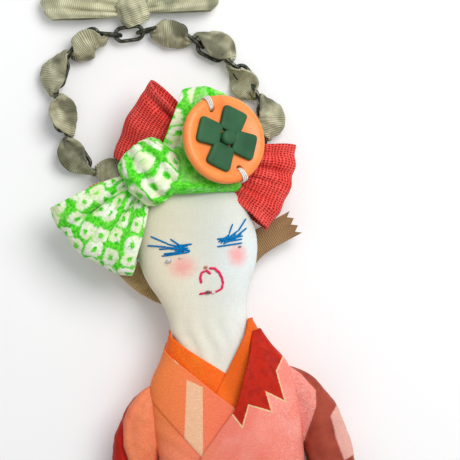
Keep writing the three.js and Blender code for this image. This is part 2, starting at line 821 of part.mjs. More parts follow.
// Strap, a chain with a ribbon woven through it
// Its route shares are measured from the middle of its hinge, across and along, in lengths of its reach.
const strapReach = 80;
const strapHeight = linkWidth / 2 + clearance;
const hingeY = neckY + 0.555 * headHeight;
const linkCount = 25;
const linkPlay = 0.6;
const wireSpacing = wireDiameter + linkPlay;
const routeShares = [
  [-0.213, 0],
  [-0.228, 0.1],
  [-0.268, 0.168],
  [-0.345, 0.215],
  [-0.45, 0.245],
  [-0.531, 0.319],
  [-0.575, 0.419],
  [-0.619, 0.568],
  [-0.629, 0.701],
  [-0.57, 0.868],
  [-0.464, 0.968],
  [-0.325, 1.01],
  [-0.199, 0.963],
  [-0.063, 0.989],
  [0.066, 0.964],
  [0.183, 0.855],
  [0.301, 0.766],
  [0.391, 0.663],
  [0.45, 0.531],
  [0.479, 0.406],
  [0.462, 0.3],
  [0.378, 0.215],
  [0.268, 0.168],
  [0.228, 0.1],
  [0.213, 0],
];
const route = new THREE.CatmullRomCurve3(
  routeShares.map(([across, up]) => vector(across * strapReach, hingeY + up * strapReach, strapHeight)),
);

// Points on a curve with one straight-line distance between neighbours, found by halving its range.
const samplesPerPoint = 40;
const halvings = 30;
function evenPoints(curve, count) {
  const samples = curve.getSpacedPoints(samplesPerPoint * count);
  const stepped = (step) => {
    const points = [samples[0]];
    for (const sample of samples) {
      if (sample.distanceTo(points.at(-1)) >= step) points.push(sample);
    }
    return points;
  };
  let [low, high] = [0, (2 * curve.getLength()) / count];
  for (let i = 0; i < halvings; i++) {
    const step = (low + high) / 2;
    if (stepped(step).length > count) low = step;
    else high = step;
  }
  return stepped(low).slice(0, count + 1);
}
const pivots = evenPoints(route, linkCount);
const linkMiddle = (i) => pivots[i].clone().lerp(pivots[i + 1], 0.5);
const linkAlong = (i) => pivots[i + 1].clone().sub(pivots[i]).normalize();
const linkAside = (i) => vector(-linkAlong(i).y, linkAlong(i).x, 0);
const upright = (i) => i % 2 === 1;

// A link of the chain, flat or upright, its ends hooked past the pivots on either side.
const linkArc = 4;
const wireSides = 6;
function linkGeometry(i) {
  const along = linkAlong(i);
  const lift = vector(0, 0, 1);
  const [across, normal] = upright(i) ? [lift, linkAside(i)] : [linkAside(i), lift];
  const bend = (linkWidth - wireDiameter) / 2;
  const straight = pivots[i].distanceTo(pivots[i + 1]) + wireSpacing - 2 * bend;
  const rings = [];
  for (const end of [1, -1]) {
    for (let k = 0; k <= linkArc; k++) {
      const angle = (k / linkArc) * Math.PI - (end * Math.PI) / 2;
      const out = along.clone().multiplyScalar(Math.cos(angle)).addScaledVector(across, Math.sin(angle));
      rings.push(
        ringAt({
          centre: linkMiddle(i).addScaledVector(along, (end * straight) / 2).addScaledVector(out, bend),
          across: out,
          normal,
          halfWidth: wireDiameter / 2,
          halfDepth: wireDiameter / 2,
          sides: wireSides,
          squareness: 2,
        }),
      );
    }
  }
  return loftGeometry(rings, true);
}

// A puff of ribbon beside a flat link, between the openings of the upright links before and after it.
// At a fold of the strap the puff stops beside the pivot.
const puffReach = 5.4;
const puffLift = 1.9;
const puffLeanAngle = 1.15;
const puffEndWidth = 3;
const puffSides = 8;
const puffSteps = 9;
const puffSquareness = 2.6;
const puffMouth = ribbonThickness / 2 + clearance / 2;
const puffWidths = [
  [0, puffEndWidth],
  [0.12, puffEndWidth],
  [0.28, 0.8 * ribbonWidth],
  [0.5, ribbonWidth],
  [0.72, 0.8 * ribbonWidth],
  [0.88, puffEndWidth],
  [1, puffEndWidth],
];
function puffRoute(i, side) {
  const along = linkAlong(i);
  const beside = (j, reach) => linkMiddle(j).addScaledVector(linkAside(j), side * reach);
  return new THREE.CatmullRomCurve3([
    beside(i - 1, puffMouth),
    beside(i - 1, 0.62 * puffReach).addScaledVector(along, 0.12 * linkWidth),
    beside(i, puffReach).add(vector(0, 0, puffLift)),
    beside(i + 1, 0.62 * puffReach).addScaledVector(along, -0.12 * linkWidth),
    beside(i + 1, puffMouth),
  ]);
}
function puffGeometry(i, side, endShare) {
  const curve = puffRoute(i, side);
  const rings = [];
  for (let step = 0; step <= puffSteps; step++) {
    const share = (endShare * step) / puffSteps;
    const tangent = curve.getTangentAt(share);
    const lean = puffLeanAngle * Math.sin(share * Math.PI) ** 2;
    const inward = vector(tangent.y, -tangent.x, 0).normalize().multiplyScalar(side);
    const across = inward.multiplyScalar(Math.sin(lean)).add(vector(0, 0, Math.cos(lean)));
    rings.push(
      ringAt({
        centre: curve.getPointAt(share),
        across,
        normal: tangent.clone().cross(across).normalize(),
        halfWidth: ramp(puffWidths, share) / 2,
        halfDepth: ribbonThickness / 2,
        sides: puffSides,
        squareness: puffSquareness,
      }),
    );
  }
  return loftGeometry(rings);
}

// Tab sewn behind the head: a ring of ribbon round the end wire of the chain, and a stem up to the head.
const tabWidth = 1.9;
const tabThickness = 0.9;
const tabBore = 2.2;
const tabRadius = tabBore + tabThickness / 2;
const tabRings = 14;
function hingeEnd(end) {
  const i = end < 0 ? 0 : linkCount - 1;
  const pivot = end < 0 ? pivots[0] : pivots[linkCount];
  return pivot.clone().addScaledVector(linkAlong(i), (end * wireSpacing) / 2);
}
function tabGeometry(end) {
  const centre = hingeEnd(end);
  const rings = [];
  for (let i = 0; i < tabRings; i++) {
    const angle = (i / tabRings) * fullTurn;
    const out = vector(0, Math.cos(angle), Math.sin(angle));
    const ring = [];
    for (const [u, v] of [[-1, -1], [1, -1], [1, 1], [-1, 1]]) {
      const point = centre.clone().addScaledVector(out, tabRadius + (v * tabThickness) / 2);
      ring.push(point.add(vector((u * tabWidth) / 2, 0, 0)));
    }
    rings.push(ring);
  }
  const stem = bolsterGeometry({
    path: [
      vector(centre.x, centre.y - 0.6 * tabRadius, centre.z + 0.9 * tabRadius),
      vector(0.95 * centre.x, centre.y - 1.6 * tabRadius, centre.z + 1.9 * tabRadius),
      vector(0.8 * centre.x, centre.y - 3.2 * tabRadius, headMiddle - 0.62 * headHalfDepth),
    ],
    profile: [
      [0, tabWidth, 1.2 * tabThickness],
      [0.5, 1.6 * tabWidth, 1.6 * tabThickness],
      [1, 2.2 * tabWidth, 3 * tabThickness],
    ],
    steps: 5,
    sides: 8,
  });
  return geometryOf(solidOf(loftGeometry(rings, true)).add(solidOf(stem)));
}
const tabs = [-1, 1].map((end) => clearOf(tabGeometry(end), head));

// The strap folds at two pairs of pivots, at these links.
const firstFold = [5, 21];
const secondFold = [7, 19];
const knotLink = 12;
const foldedShare = 0.64;
const links = pivots.slice(1).map((_, i) => linkGeometry(i));
const puffs = [];
for (let i = 2, side = -1; i < linkCount - 2; i += 2, side = -side) {
  const folds = [...firstFold, ...secondFold].includes(i + 1);
  if (i !== knotLink) puffs.push([i, puffGeometry(i, side, folds ? foldedShare : 1)]);
}

// Ribbon bow tied round the top of the strap
const bowKnotSize = 13;
const bowLoopLength = 27;
const bowShift = 3.2;
const bowNearCount = 4;
const bowMiddle = linkMiddle(knotLink).add(vector(bowShift, 0.5 * bowKnotSize, 0.2 * strapHeight));
const onBow = (across, up, lift) =>
  bowMiddle.clone().add(vector(across * bowKnotSize, up * bowKnotSize, lift * bowKnotSize));
const bowKnotForm = bolsterGeometry({
  path: [onBow(-0.1, 0.5, 0), onBow(0, 0, 0.05), onBow(0.1, -0.5, 0)],
  profile: [
    [0, 0.6 * bowKnotSize, 0.35 * bowKnotSize],
    [0.2, bowKnotSize, 0.62 * bowKnotSize],
    [0.8, bowKnotSize, 0.62 * bowKnotSize],
    [1, 0.7 * bowKnotSize, 0.35 * bowKnotSize],
  ],
  steps: 6,
  sides: 12,
  folds: 3,
  foldShare: 0.1,
});
const bowNeighbours = [
  ...links.slice(knotLink - bowNearCount, knotLink + bowNearCount + 1),
  ...puffs.filter(([i]) => Math.abs(i - knotLink) <= bowNearCount).map(([, puff]) => puff),
];
function bowLoopForm(side) {
  const root = onBow(0.46 * side, 0, 0);
  return foldedLoopGeometry({
    root,
    tip: root.clone().add(vector(side * bowLoopLength, -0.12 * side * bowLoopLength, 0)),
    rootWidth: 0.6 * bowKnotSize,
    tipWidth: 1.3 * bowKnotSize,
    height: 0.55 * bowKnotSize,
    thickness: 0.8 * ribbonThickness,
    bulge: 0.1 * bowKnotSize,
    roll: 0,
    pleats: 1,
    pleatDepth: 0.4 * ribbonThickness,
  });
}
const bowKnot = clearOf(bowKnotForm, ...bowNeighbours);
const bowLoops = [-1, 1].map((side) => clearOf(bowLoopForm(side), bowKnotForm, ...bowNeighbours));

// The doll and its named pieces
const doll = new THREE.Group();
function add(name, geometry, look) {
  const mesh = new THREE.Mesh(geometry, look);
  mesh.name = name;
  doll.add(mesh);
}
const linkName = (kind, i) => `${kind}_${String(i + 1).padStart(2, "0")}`;
const sideNames = ["left", "right"];
add("head", head, linen);
add("torso_core", torso, stuffing);
add("kimono_back", backPanel, coralSilk);
add("kimono_front_under", underPanel, coralSilk);
add("kimono_front_over", overPanel, pinkSilk);
add("inner_collar_under", collarUnder, orangeSilk);
add("inner_collar_over", collarOver, orangeSilk);
add("sash", sash, sashSilk);
add("sash_knot", sashKnot, sashSilk);
add("sleeve_left", sleeveLeft, coralSilk);
add("sleeve_right", sleeveRight, coralSilk);
add("scarf_band", band, greenSilk);
add("scarf_knot", scarfKnot, greenSilk);
add("scarf_side_loop", sideLoop, greenSilk);
add("scarf_upper_fold", upperFold, greenSilk);
add("red_loop_left", redLoopLeft, redMesh);
add("red_loop_right", redLoopRight, redMesh);
add("button", button, orangePlastic);
add("button_flower", flower, greenPlastic);
add("back_ribbon", backRibbon, brownRibbon);
tabs.forEach((tab, k) => add(`strap_tab_${sideNames[k]}`, tab, khakiRibbon));
links.forEach((link, i) => add(linkName("link", i), link, darkChain));
puffs.forEach(([i, puff]) => add(linkName("ribbon_puff", i), puff, khakiRibbon));
add("strap_bow_knot", bowKnot, khakiRibbon);
bowLoops.forEach((loop, k) => add(`strap_bow_loop_${sideNames[k]}`, loop, khakiRibbon));

export default doll;
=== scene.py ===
"""Looks of the kimono doll charm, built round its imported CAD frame.

Lengths are millimetres until a mesh is made, and metres inside materials.
"""
import math

import bmesh
import bpy
import numpy as np
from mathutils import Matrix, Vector


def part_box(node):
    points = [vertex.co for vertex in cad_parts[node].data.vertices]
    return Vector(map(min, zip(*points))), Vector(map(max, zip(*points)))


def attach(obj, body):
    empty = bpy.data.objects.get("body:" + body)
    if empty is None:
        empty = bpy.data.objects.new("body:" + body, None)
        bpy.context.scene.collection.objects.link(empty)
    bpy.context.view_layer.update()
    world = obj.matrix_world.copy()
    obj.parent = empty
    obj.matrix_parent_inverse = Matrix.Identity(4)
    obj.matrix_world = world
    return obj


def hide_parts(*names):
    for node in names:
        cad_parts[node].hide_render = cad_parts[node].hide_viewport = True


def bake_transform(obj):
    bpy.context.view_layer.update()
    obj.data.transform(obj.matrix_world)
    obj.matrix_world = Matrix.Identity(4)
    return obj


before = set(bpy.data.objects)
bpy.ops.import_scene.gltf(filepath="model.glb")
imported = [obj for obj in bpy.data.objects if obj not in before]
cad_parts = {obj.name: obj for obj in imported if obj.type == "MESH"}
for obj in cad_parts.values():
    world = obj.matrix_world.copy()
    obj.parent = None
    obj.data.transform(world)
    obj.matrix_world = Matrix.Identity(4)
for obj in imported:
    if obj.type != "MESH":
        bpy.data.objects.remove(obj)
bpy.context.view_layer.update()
scene = bpy.context.scene
MM = 0.001
TAU = 2 * math.pi


# Camera, straight above and rolled by the doll's lean

IMAGE_PIXELS, MM_PER_PIXEL = 460, 0.42
LENS, SENSOR, FAR_CLIP = 150, 36, 20
PHOTO_MIDDLE, SCALE_HEIGHT = (14.7, 118.9), 20
LEAN = math.radians(9)


def make_camera():
    data = bpy.data.cameras.new("camera")
    data.lens, data.sensor_width, data.clip_end = LENS, SENSOR, FAR_CLIP
    camera = bpy.data.objects.new("camera", data)
    scene.collection.objects.link(camera)
    distance = IMAGE_PIXELS * MM_PER_PIXEL * LENS / SENSOR
    camera.location = [MM * p for p in (*PHOTO_MIDDLE, SCALE_HEIGHT + distance)]
    camera.rotation_euler = (0, 0, -LEAN)
    scene.camera = camera


make_camera()


# Vector helpers

def vec(*p):
    return np.array(p, float)


UP = vec(0, 0, 1)
LEVEL = vec(1, 0, 1)  # keeps a point's place across and in height, and drops its place along the doll


def unit(v):
    return v / max(np.linalg.norm(v), 1e-9)


def lerp(a, b, t):
    return a + (b - a) * t


def smoothstep(x, low, high):
    t = np.clip((x - low) / (high - low), 0, 1)
    return t * t * (3 - 2 * t)


def bell(x, width):
    """1 at 0, and next to nothing from two widths away."""
    return np.exp(-((x / width) ** 2))


def turns(count):
    """Angles that share out a full turn."""
    return np.arange(count) / count * TAU


def rounded(angle, squareness):
    """Places on a rounded square that reaches 1. It is a circle at squareness 2."""
    power = 2 / squareness
    c, s = np.cos(angle), np.sin(angle)
    return np.sign(c) * np.abs(c) ** power, np.sign(s) * np.abs(s) ** power


def circle(centre, radius, a, b, angle):
    """Points round a centre, in the plane of two directions."""
    return centre + radius * (np.cos(angle)[:, None] * a + np.sin(angle)[:, None] * b)


def outward(points, centre):
    """Directions from a centre to points."""
    out = points - centre
    return out / np.maximum(np.linalg.norm(out, axis=-1, keepdims=True), 1e-6)


def table_of(rows):
    """Rows that start with a place, and the slopes of their other values."""
    rows = np.array(rows, float)
    return rows, np.gradient(rows[:, 1:], rows[:, 0], axis=0)


def smooth_table(table, place):
    """Smooth values at a place between the rows of a table_of."""
    rows, slopes = table
    place = np.clip(place, rows[0, 0], rows[-1, 0])
    i = int(np.clip(np.searchsorted(rows[:, 0], place) - 1, 0, len(rows) - 2))
    h = rows[i + 1, 0] - rows[i, 0]
    t = (place - rows[i, 0]) / h
    a, b, m, n = rows[i, 1:], rows[i + 1, 1:], slopes[i] * h, slopes[i + 1] * h
    return ((2 * t**3 - 3 * t**2 + 1) * a + (t**3 - 2 * t**2 + t) * m
            + (3 * t**2 - 2 * t**3) * b + (t**3 - t**2) * n)


class Curve:
    """A smooth curve through points, read by its share of length."""

    def __init__(self, points, samples=24):
        p = [vec(*q) for q in points]
        p = [2 * p[0] - p[1], *p, 2 * p[-1] - p[-2]]
        t = (np.arange(samples) / samples)[:, None]
        spans = [0.5 * (2 * b + (c - a) * t + (2 * a - 5 * b + 4 * c - d) * t**2 + (3 * b - a - 3 * c + d) * t**3)
                 for a, b, c, d in zip(p, p[1:], p[2:], p[3:])]
        self.points = np.concatenate([*spans, [p[-2]]])
        steps = np.linalg.norm(np.diff(self.points, axis=0), axis=1)
        self.lengths = np.concatenate([[0], np.cumsum(steps)])
        self.length = self.lengths[-1]

    def at(self, share):
        s = np.clip(share, 0, 1) * self.length
        return np.array([np.interp(s, self.lengths, self.points[:, c]) for c in range(3)])

    def tangent(self, share, step=0.01):
        return unit(self.at(share + step) - self.at(share - step))


def ripple(p, size, seed):
    """Smooth, seeded unevenness from about -1 to 1, with features of a given size."""
    rng = np.random.default_rng(seed)
    total = np.zeros(p.shape[:-1])
    for _ in range(7):
        k = rng.normal(size=3)
        k = k / np.linalg.norm(k) * rng.uniform(0.6, 1.5) * TAU / size
        total += np.sin(p @ k + rng.uniform(0, TAU))
    return total / 4


# Mesh helpers

def new_object(name, points, faces, uv=None):
    """A smooth mesh whose faces look outwards, with its places on the cloth as a UV map."""
    mesh = bpy.data.meshes.new(name)
    mesh.from_pydata([tuple(p) for p in np.asarray(points) * MM], [], faces)
    mesh.validate()
    if uv is not None:
        layer = mesh.uv_layers.new(name="cloth")
        index = np.zeros(len(mesh.loops), int)
        mesh.loops.foreach_get("vertex_index", index)
        layer.data.foreach_set("uv", (np.asarray(uv)[index] * MM).ravel())
    mesh.polygons.foreach_set("use_smooth", [True] * len(mesh.polygons))
    form = bmesh.new()
    form.from_mesh(mesh)
    bmesh.ops.recalc_face_normals(form, faces=form.faces)
    form.to_mesh(mesh)
    form.free()
    obj = bpy.data.objects.new(name, mesh)
    scene.collection.objects.link(obj)
    return obj


def quads(a, b):
    """Faces between two lines, or two stacks of lines, of point numbers. new_object turns them outwards."""
    return np.stack([a[..., :-1], b[..., :-1], b[..., 1:], a[..., 1:]], -1).reshape(-1, 4).tolist()


def normals_of(grid, wrap_rows=False, wrap_columns=False):
    def step(axis, wrap):
        return np.roll(grid, -1, axis) - np.roll(grid, 1, axis) if wrap else np.gradient(grid, axis=axis)

    n = np.cross(step(0, wrap_rows), step(1, wrap_columns))
    return n / np.maximum(np.linalg.norm(n, axis=2, keepdims=True), 1e-9)


def shell(name, grid, uv, thickness, wrap_rows=False, wrap_columns=False):
    """Cloth as a thin closed shell round a grid of points, whose rows or columns may run round."""
    off = normals_of(grid, wrap_rows, wrap_columns) * (thickness / 2)
    points = np.stack([grid + off, grid - off])
    index = np.arange(points[..., 0].size).reshape(points.shape[:3])
    if wrap_rows:
        index = np.concatenate([index, index[:, :1]], 1)
    if wrap_columns:
        index = np.concatenate([index, index[:, :, :1]], 2)
    outer, inner = index
    faces = quads(outer[:-1], outer[1:]) + quads(inner[:-1], inner[1:])
    if not wrap_rows:
        faces += quads(outer[0], inner[0]) + quads(outer[-1], inner[-1])
    if not wrap_columns:
        faces += quads(outer[:, 0], inner[:, 0]) + quads(outer[:, -1], inner[:, -1])
    return new_object(name, points.reshape(-1, 3), faces, np.concatenate([uv.reshape(-1, 2)] * 2))


def loft(name, rings, uv=None, closed=False):
    """A closed solid through rings of points. Open ends are capped from their middles."""
    rings = np.asarray(rings)
    index = np.arange(rings[..., 0].size).reshape(rings.shape[:2])
    index = np.concatenate([index, index[:, :1]], 1)
    if closed:
        index = np.concatenate([index, index[:1]])
    faces = quads(index[:-1], index[1:])
    points = [*rings.reshape(-1, 3)]
    if not closed:
        for end in (0, -1):
            line = index[end].tolist()
            faces += [[len(points), a, b] for a, b in zip(line, line[1:])]
            points.append(rings[end].mean(0))
    if uv is not None:
        uv = [*uv.reshape(-1, 2), *([] if closed else [uv[0].mean(0), uv[-1].mean(0)])]
    return new_object(name, points, faces, uv)


def tube(name, points, radius, sides=8, samples=8):
    """A round thread along points, its ends rounded."""
    curve = Curve(points, samples)
    steps = max(4, int(len(points) * samples / 2))
    rings = []
    for share in np.arange(steps + 1) / steps:
        along = curve.tangent(share, 0.5 / steps)
        a = unit(np.cross(along, UP if abs(along[2]) < 0.9 else vec(1, 0, 0)))
        end = math.sqrt(max(0.0, 1 - (2 * share - 1) ** 16)) * 0.75 + 0.25
        rings.append(circle(curve.at(share), radius * end, a, np.cross(a, along), turns(sides)))
    return loft(name, rings)


def joined(name, parts):
    """One object from several, keeping their shapes."""
    points, faces = [], []
    for part in parts:
        faces += [[len(points) + i for i in face.vertices] for face in part.data.polygons]
        points += [tuple(vertex.co / MM) for vertex in part.data.vertices]
        bpy.data.objects.remove(part)
    return new_object(name, points, faces)


def cover(obj, material, body, slot, *nodes):
    """Gives a piece its material and body, and hides the CAD nodes that it stands for. Its slot is not used."""
    obj.data.materials.clear()
    obj.data.materials.append(material)
    if body:
        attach(obj, body)
    if nodes:
        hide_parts(*nodes)


# Material helpers

def linear(text):
    """A colour written RRGGBB as linear numbers."""
    parts = [int(text[i:i + 2], 16) / 255 for i in (0, 2, 4)]
    return (*(c / 12.92 if c <= 0.04045 else ((c + 0.055) / 1.055) ** 2.4 for c in parts), 1)


def anticlockwise(corners):
    area = sum(a[0] * b[1] - b[0] * a[1] for a, b in zip(corners, corners[1:] + corners[:1]))
    return corners if area > 0 else corners[::-1]


class Tree:
    """A node tree, with short ways to add nodes. A colour is a socket, RRGGBB text or four linear numbers."""

    def __init__(self, tree):
        self.tree = tree
        self.tree.nodes.clear()

    def put(self, socket, value):
        if isinstance(value, bpy.types.NodeSocket):
            self.tree.links.new(value, socket)
        else:
            socket.default_value = linear(value) if isinstance(value, str) else value

    def node(self, kind, inputs=(), out=0, **settings):
        n = self.tree.nodes.new("ShaderNode" + kind)
        for key, value in settings.items():
            setattr(n, key, value)
        for key, value in dict(inputs).items():
            self.put(n.inputs[key], value)
        return n.outputs[out]

    def calc(self, operation, a, b, **settings):
        return self.node("Math", {0: a, 1: b}, operation=operation, **settings)

    def times(self, a, b):
        return self.calc("MULTIPLY", a, b)

    def plus(self, a, b):
        return self.calc("ADD", a, b)

    def minus(self, a, b):
        return self.calc("SUBTRACT", a, b)


class Nodes(Tree):
    """The nodes of a material with one shader."""

    def __init__(self, name):
        self.material = bpy.data.materials.new(name)
        self.material.use_nodes = True
        super().__init__(self.material.node_tree)
        self.shader = self.tree.nodes.new("ShaderNodeBsdfPrincipled")
        out = self.tree.nodes.new("ShaderNodeOutputMaterial")
        self.tree.links.new(self.shader.outputs[0], out.inputs[0])

    def mix(self, share, a, b):
        return self.node("Mix", {0: share, 6: a, 7: b}, out=2, data_type="RGBA")

    def steps(self, value, low, high):
        """0 below low and 1 above high, smooth between them."""
        return self.node("MapRange", {0: value, 1: low, 2: high}, interpolation_type="SMOOTHSTEP")

    def tint(self, base, value, low, high, colour, amount=1.0):
        """A base that takes on a colour, at most by an amount, as a value runs from low to high."""
        share = self.steps(value, low, high)
        return self.mix(share if amount == 1.0 else self.times(share, amount), base, colour)

    def place(self, scale=(1, 1, 1), rotation=(0, 0, 0), uv=False, offset=(0, 0, 0)):
        source = self.node("UVMap", uv_map="cloth") if uv else self.node("TexCoord", out=3)
        return self.node("Mapping", {0: source, 1: offset, 2: rotation, 3: scale})

    def axis(self, index, where=None):
        return self.node("SeparateXYZ", {0: self.place() if where is None else where}, out=index)

    def noise(self, scale, detail=3.0, where=None, rough=0.55):
        where = self.place() if where is None else where
        return self.node("TexNoise", {"Vector": where, "Scale": scale, "Detail": detail, "Roughness": rough})

    def threads(self, *scale, uv=False):
        """Noise stretched along threads, with its scale on each axis."""
        return self.noise(1.0, 2.0, self.place(scale, uv=uv))

    def bands(self, pitch, axis, where, distortion=0.0):
        """A wave across one axis, with a given pitch in metres."""
        inputs = {"Vector": where, "Scale": TAU / 20 / pitch, "Distortion": distortion, "Detail": 1.0,
                  "Detail Scale": 1.5}
        return self.node("TexWave", inputs, out=1, wave_type="BANDS", bands_direction=axis, wave_profile="SIN")

    def shaken(self, where, place, scale, detail, amount):
        """A place moved by noise of an amount in metres, which is read at another place."""
        noise = self.node("TexNoise", {"Vector": place, "Scale": scale, "Detail": detail}, out=1)
        centred = self.node("VectorMath", {0: noise, 1: (0.5, 0.5, 0.5)}, operation="SUBTRACT")
        shift = self.node("VectorMath", {0: centred, 3: amount}, operation="SCALE")
        return self.node("VectorMath", {0: where, 1: shift}, operation="ADD")

    def leaves(self, scale, seed=0.0):
        """Curling woven leaves: bands bent by noise."""
        where = self.place(offset=(seed, seed * 0.7, 0))
        bend = self.node("TexNoise", {"Vector": where, "Scale": scale, "Detail": 2.0, "Distortion": 1.6})
        return self.steps(self.calc("PINGPONG", self.times(bend, 9.0), 0.5), 0.26, 0.34)

    def beside(self, where, a, b):
        """Signed distance in metres to the line from a to b, in millimetres: positive on its left."""
        along = unit(vec(*b) - vec(*a))
        left = (-along[1], along[0], 0)
        dot = self.node("VectorMath", {0: where, 1: left}, out=1, operation="DOT_PRODUCT")
        return self.plus(dot, -(left[0] * a[0] + left[1] * a[1]) * MM)

    def inside(self, where, corners):
        """Signed distance in metres, positive inside a convex outline in millimetres."""
        corners = anticlockwise(corners)
        value = self.beside(where, corners[-1], corners[0])
        for a, b in zip(corners, corners[1:]):
            value = self.calc("MINIMUM", value, self.beside(where, a, b))
        return value

    def bump(self, height, distance, strength=1.0):
        return self.node("Bump", {"Height": height, "Distance": distance, "Strength": strength})

    def finish(self, colour, rough, **sockets):
        """Sets the shader's sockets, named with _ for a space, and returns the material."""
        for key, value in {"Base_Color": colour, "Roughness": rough, **sockets}.items():
            self.put(self.shader.inputs[key.replace("_", " ")], value)
        return self.material

    def silk(self, base, leaf, crepe=0.35):
        """Finishes as silk: crepe grain and threads on a base colour, and woven leaves that shine."""
        height = self.plus(self.noise(1500.0), self.threads(500, 3000, 1200))
        base = self.tint(self.mix(0.2, base, (0.25, 0.03, 0.01, 1)), height, 0.75, 1.35, base)
        rough = self.node("MapRange", {0: leaf, 3: 0.66, 4: 0.36})
        height = self.plus(height, self.times(leaf, 0.8))
        return self.finish(base, rough, Normal=self.bump(height, 0.00016, crepe),
                           Specular_IOR_Level=0.15, Sheen_Weight=0.03, Sheen_Roughness=0.4)


# Materials

CHEEKS = (((-7.2, 106.8), (8.4, 6.6), 0.66), ((16.0, 108.2), (5.6, 6.6), 0.72))  # middle, half size, strength
COLLAR_LINE = ((-12.4, 28.8), (-30.7, 55.5))  # the outer edge of the left front's collar piece
STRIPE = [(-12.7, 60.5), (-6.6, 56.3), (-11.6, 24.0), (-18.9, 30.0)]
COLLAR_MARK = [(-18.0, 72.2), (-15.6, 69.6), (-15.0, 66.2), (-16.6, 68.0)]
LAPEL = [(30.0, 90.0), (8.0, 90.0), (4.0, 50.0), (4.2, 44.5), (10.6, 46.9), (18.2, 51.5), (24.3, 58.2),
         (30.0, 66.0)]
TEETH = [((3.6, 44.6), (7.0, 38.4), (10.9, 46.9)), ((10.7, 46.9), (19.7, 42.4), (18.5, 51.5)),
         ((18.2, 51.3), (25.8, 45.7), (24.3, 58.2))]  # the lapel's points: left end, tip, right end
SLEEVE_PATCH = [(44.0, 35.4), (50.6, 43.0), (55.0, 34.0), (52.0, 17.0), (47.0, 15.5), (45.0, 24.6)]
SHOULDER_CLOTH = {  # the kimono's cloth that covers the top of each sleeve
    -1: [(-16.0, 74.0), (-38.5, 52.6), (-41.8, 47.1), (-43.4, 36.7), (-42.2, 29.5), (-37.0, 18.0), (-30.0, 8.0),
         (-16.0, 0.0)],
    1: [(16.0, 72.0), (34.6, 54.6), (39.6, 47.0), (38.8, 40.7), (32.1, 27.7), (25.0, 14.0), (16.0, 0.0)],
}
SLEEVE_TONES = {  # two of the shoulder's cloth, its leaves and their strength, two of the sleeve's own cloth (on the right sleeve, a darker brown-red that is partly painted shade)
    -1: ("F4875A", "EE7450", "FFB48C", 0.22, "B81505", "9E1003"),
    1: ("F48A7C", "EE7C6C", "FBC3BB", 0.55, "AA4B39", "90392A"),
}


def muslin():
    """Fine cotton with blush on the cheeks, painted light cream at the left and cool at the right, and painted shade at
    the crown.
    """
    n = Nodes("muslin")
    where = n.place()
    x, y = n.axis(0, where), n.axis(1, where)
    weave = n.plus(n.threads(260, 3600, 900), n.threads(3600, 260, 900))
    # painted light and shade across the head: cream at the left, grey in the middle, cool white at the right; lighter
    # low on the face and painted shade toward the crown
    base = n.tint("F3E9CC", x, -0.016, 0.012, "D8DEDA")
    base = n.tint(base, x, 0.002, 0.02, "E6F0F1")
    base = n.tint(base, y, 0.112, 0.078, "F0EADB", 0.4)
    base = n.tint(base, y, 0.1, 0.13, "CBCAB4", 0.5)
    base = n.tint(n.mix(0.16, base, "A9A48F"), weave, 0.75, 1.3, base)
    base = n.tint(base, n.noise(45.0, 2.0), 0.45, 0.7, "D9D6C4", 0.18)
    fleck = n.times(n.minus(n.noise(520.0, 2.0), 0.5), 0.5)
    for (cx, cy), (rx, ry), strength in CHEEKS:
        scale = (1 / (rx * MM), 1 / (ry * MM), 0)
        about = n.node("Mapping", {0: where, 1: (-cx / rx, -cy / ry, 0), 3: scale})
        far = n.node("VectorMath", {0: about}, out=1, operation="LENGTH")
        base = n.tint(base, n.plus(far, fleck), 1.05, 0.1, "F58F8C", strength)
    return n.finish(base, 0.92, Normal=n.bump(weave, 0.00012, 0.5), Specular_IOR_Level=0.2, Sheen_Weight=0.05,
                    Sheen_Roughness=0.6)


def torso_cotton():
    n = Nodes("torso_cotton")
    weave = n.plus(n.threads(400, 2600, 2600), n.threads(2600, 400, 2600))
    return n.finish(n.tint("C9BDA4", weave, 0.7, 1.25, "E9DFC9"), 0.9, Normal=n.bump(weave, 0.00015, 0.5),
                    Specular_IOR_Level=0.15, Sheen_Weight=0.05)


def coral_panel():
    """Coral silk of the left front, with a cream stripe and mark, and woven leaves beyond its collar piece."""
    n = Nodes("coral_silk_front")
    where = n.place()
    x, y = n.axis(0, where), n.axis(1, where)
    base = n.tint("FF8A4A", n.minus(x, n.times(y, 0.4)), -0.052, -0.012, "FA7F5E")
    base = n.tint(base, y, 0.045, 0.02, "FF8A6A")
    outer = n.beside(where, *COLLAR_LINE)
    leaf = n.times(n.leaves(300.0, 0.1), n.steps(outer, 0.0, 0.002))
    base = n.mix(n.times(leaf, 0.25), base, "FFB58C")
    stripe = n.steps(n.plus(n.inside(where, STRIPE), n.times(n.noise(900.0), 0.0004)), 0.0, 0.0005)
    stripe = n.times(stripe, n.minus(1.0, n.steps(outer, -0.0004, 0.0002)))
    base = n.mix(n.times(stripe, 0.85), base, "F8CFA6")
    base = n.tint(base, n.inside(where, COLLAR_MARK), 0.0, 0.0004, "F0C7A0", 0.8)
    return n.silk(base, leaf, 0.3)


def coral_back():
    n = Nodes("coral_silk_back")
    base = n.tint("F27E58", n.noise(60.0), 0.35, 0.7, n.mix(0.35, "F27E58", "E0553A"))
    return n.silk(base, n.leaves(250.0, 0.4))


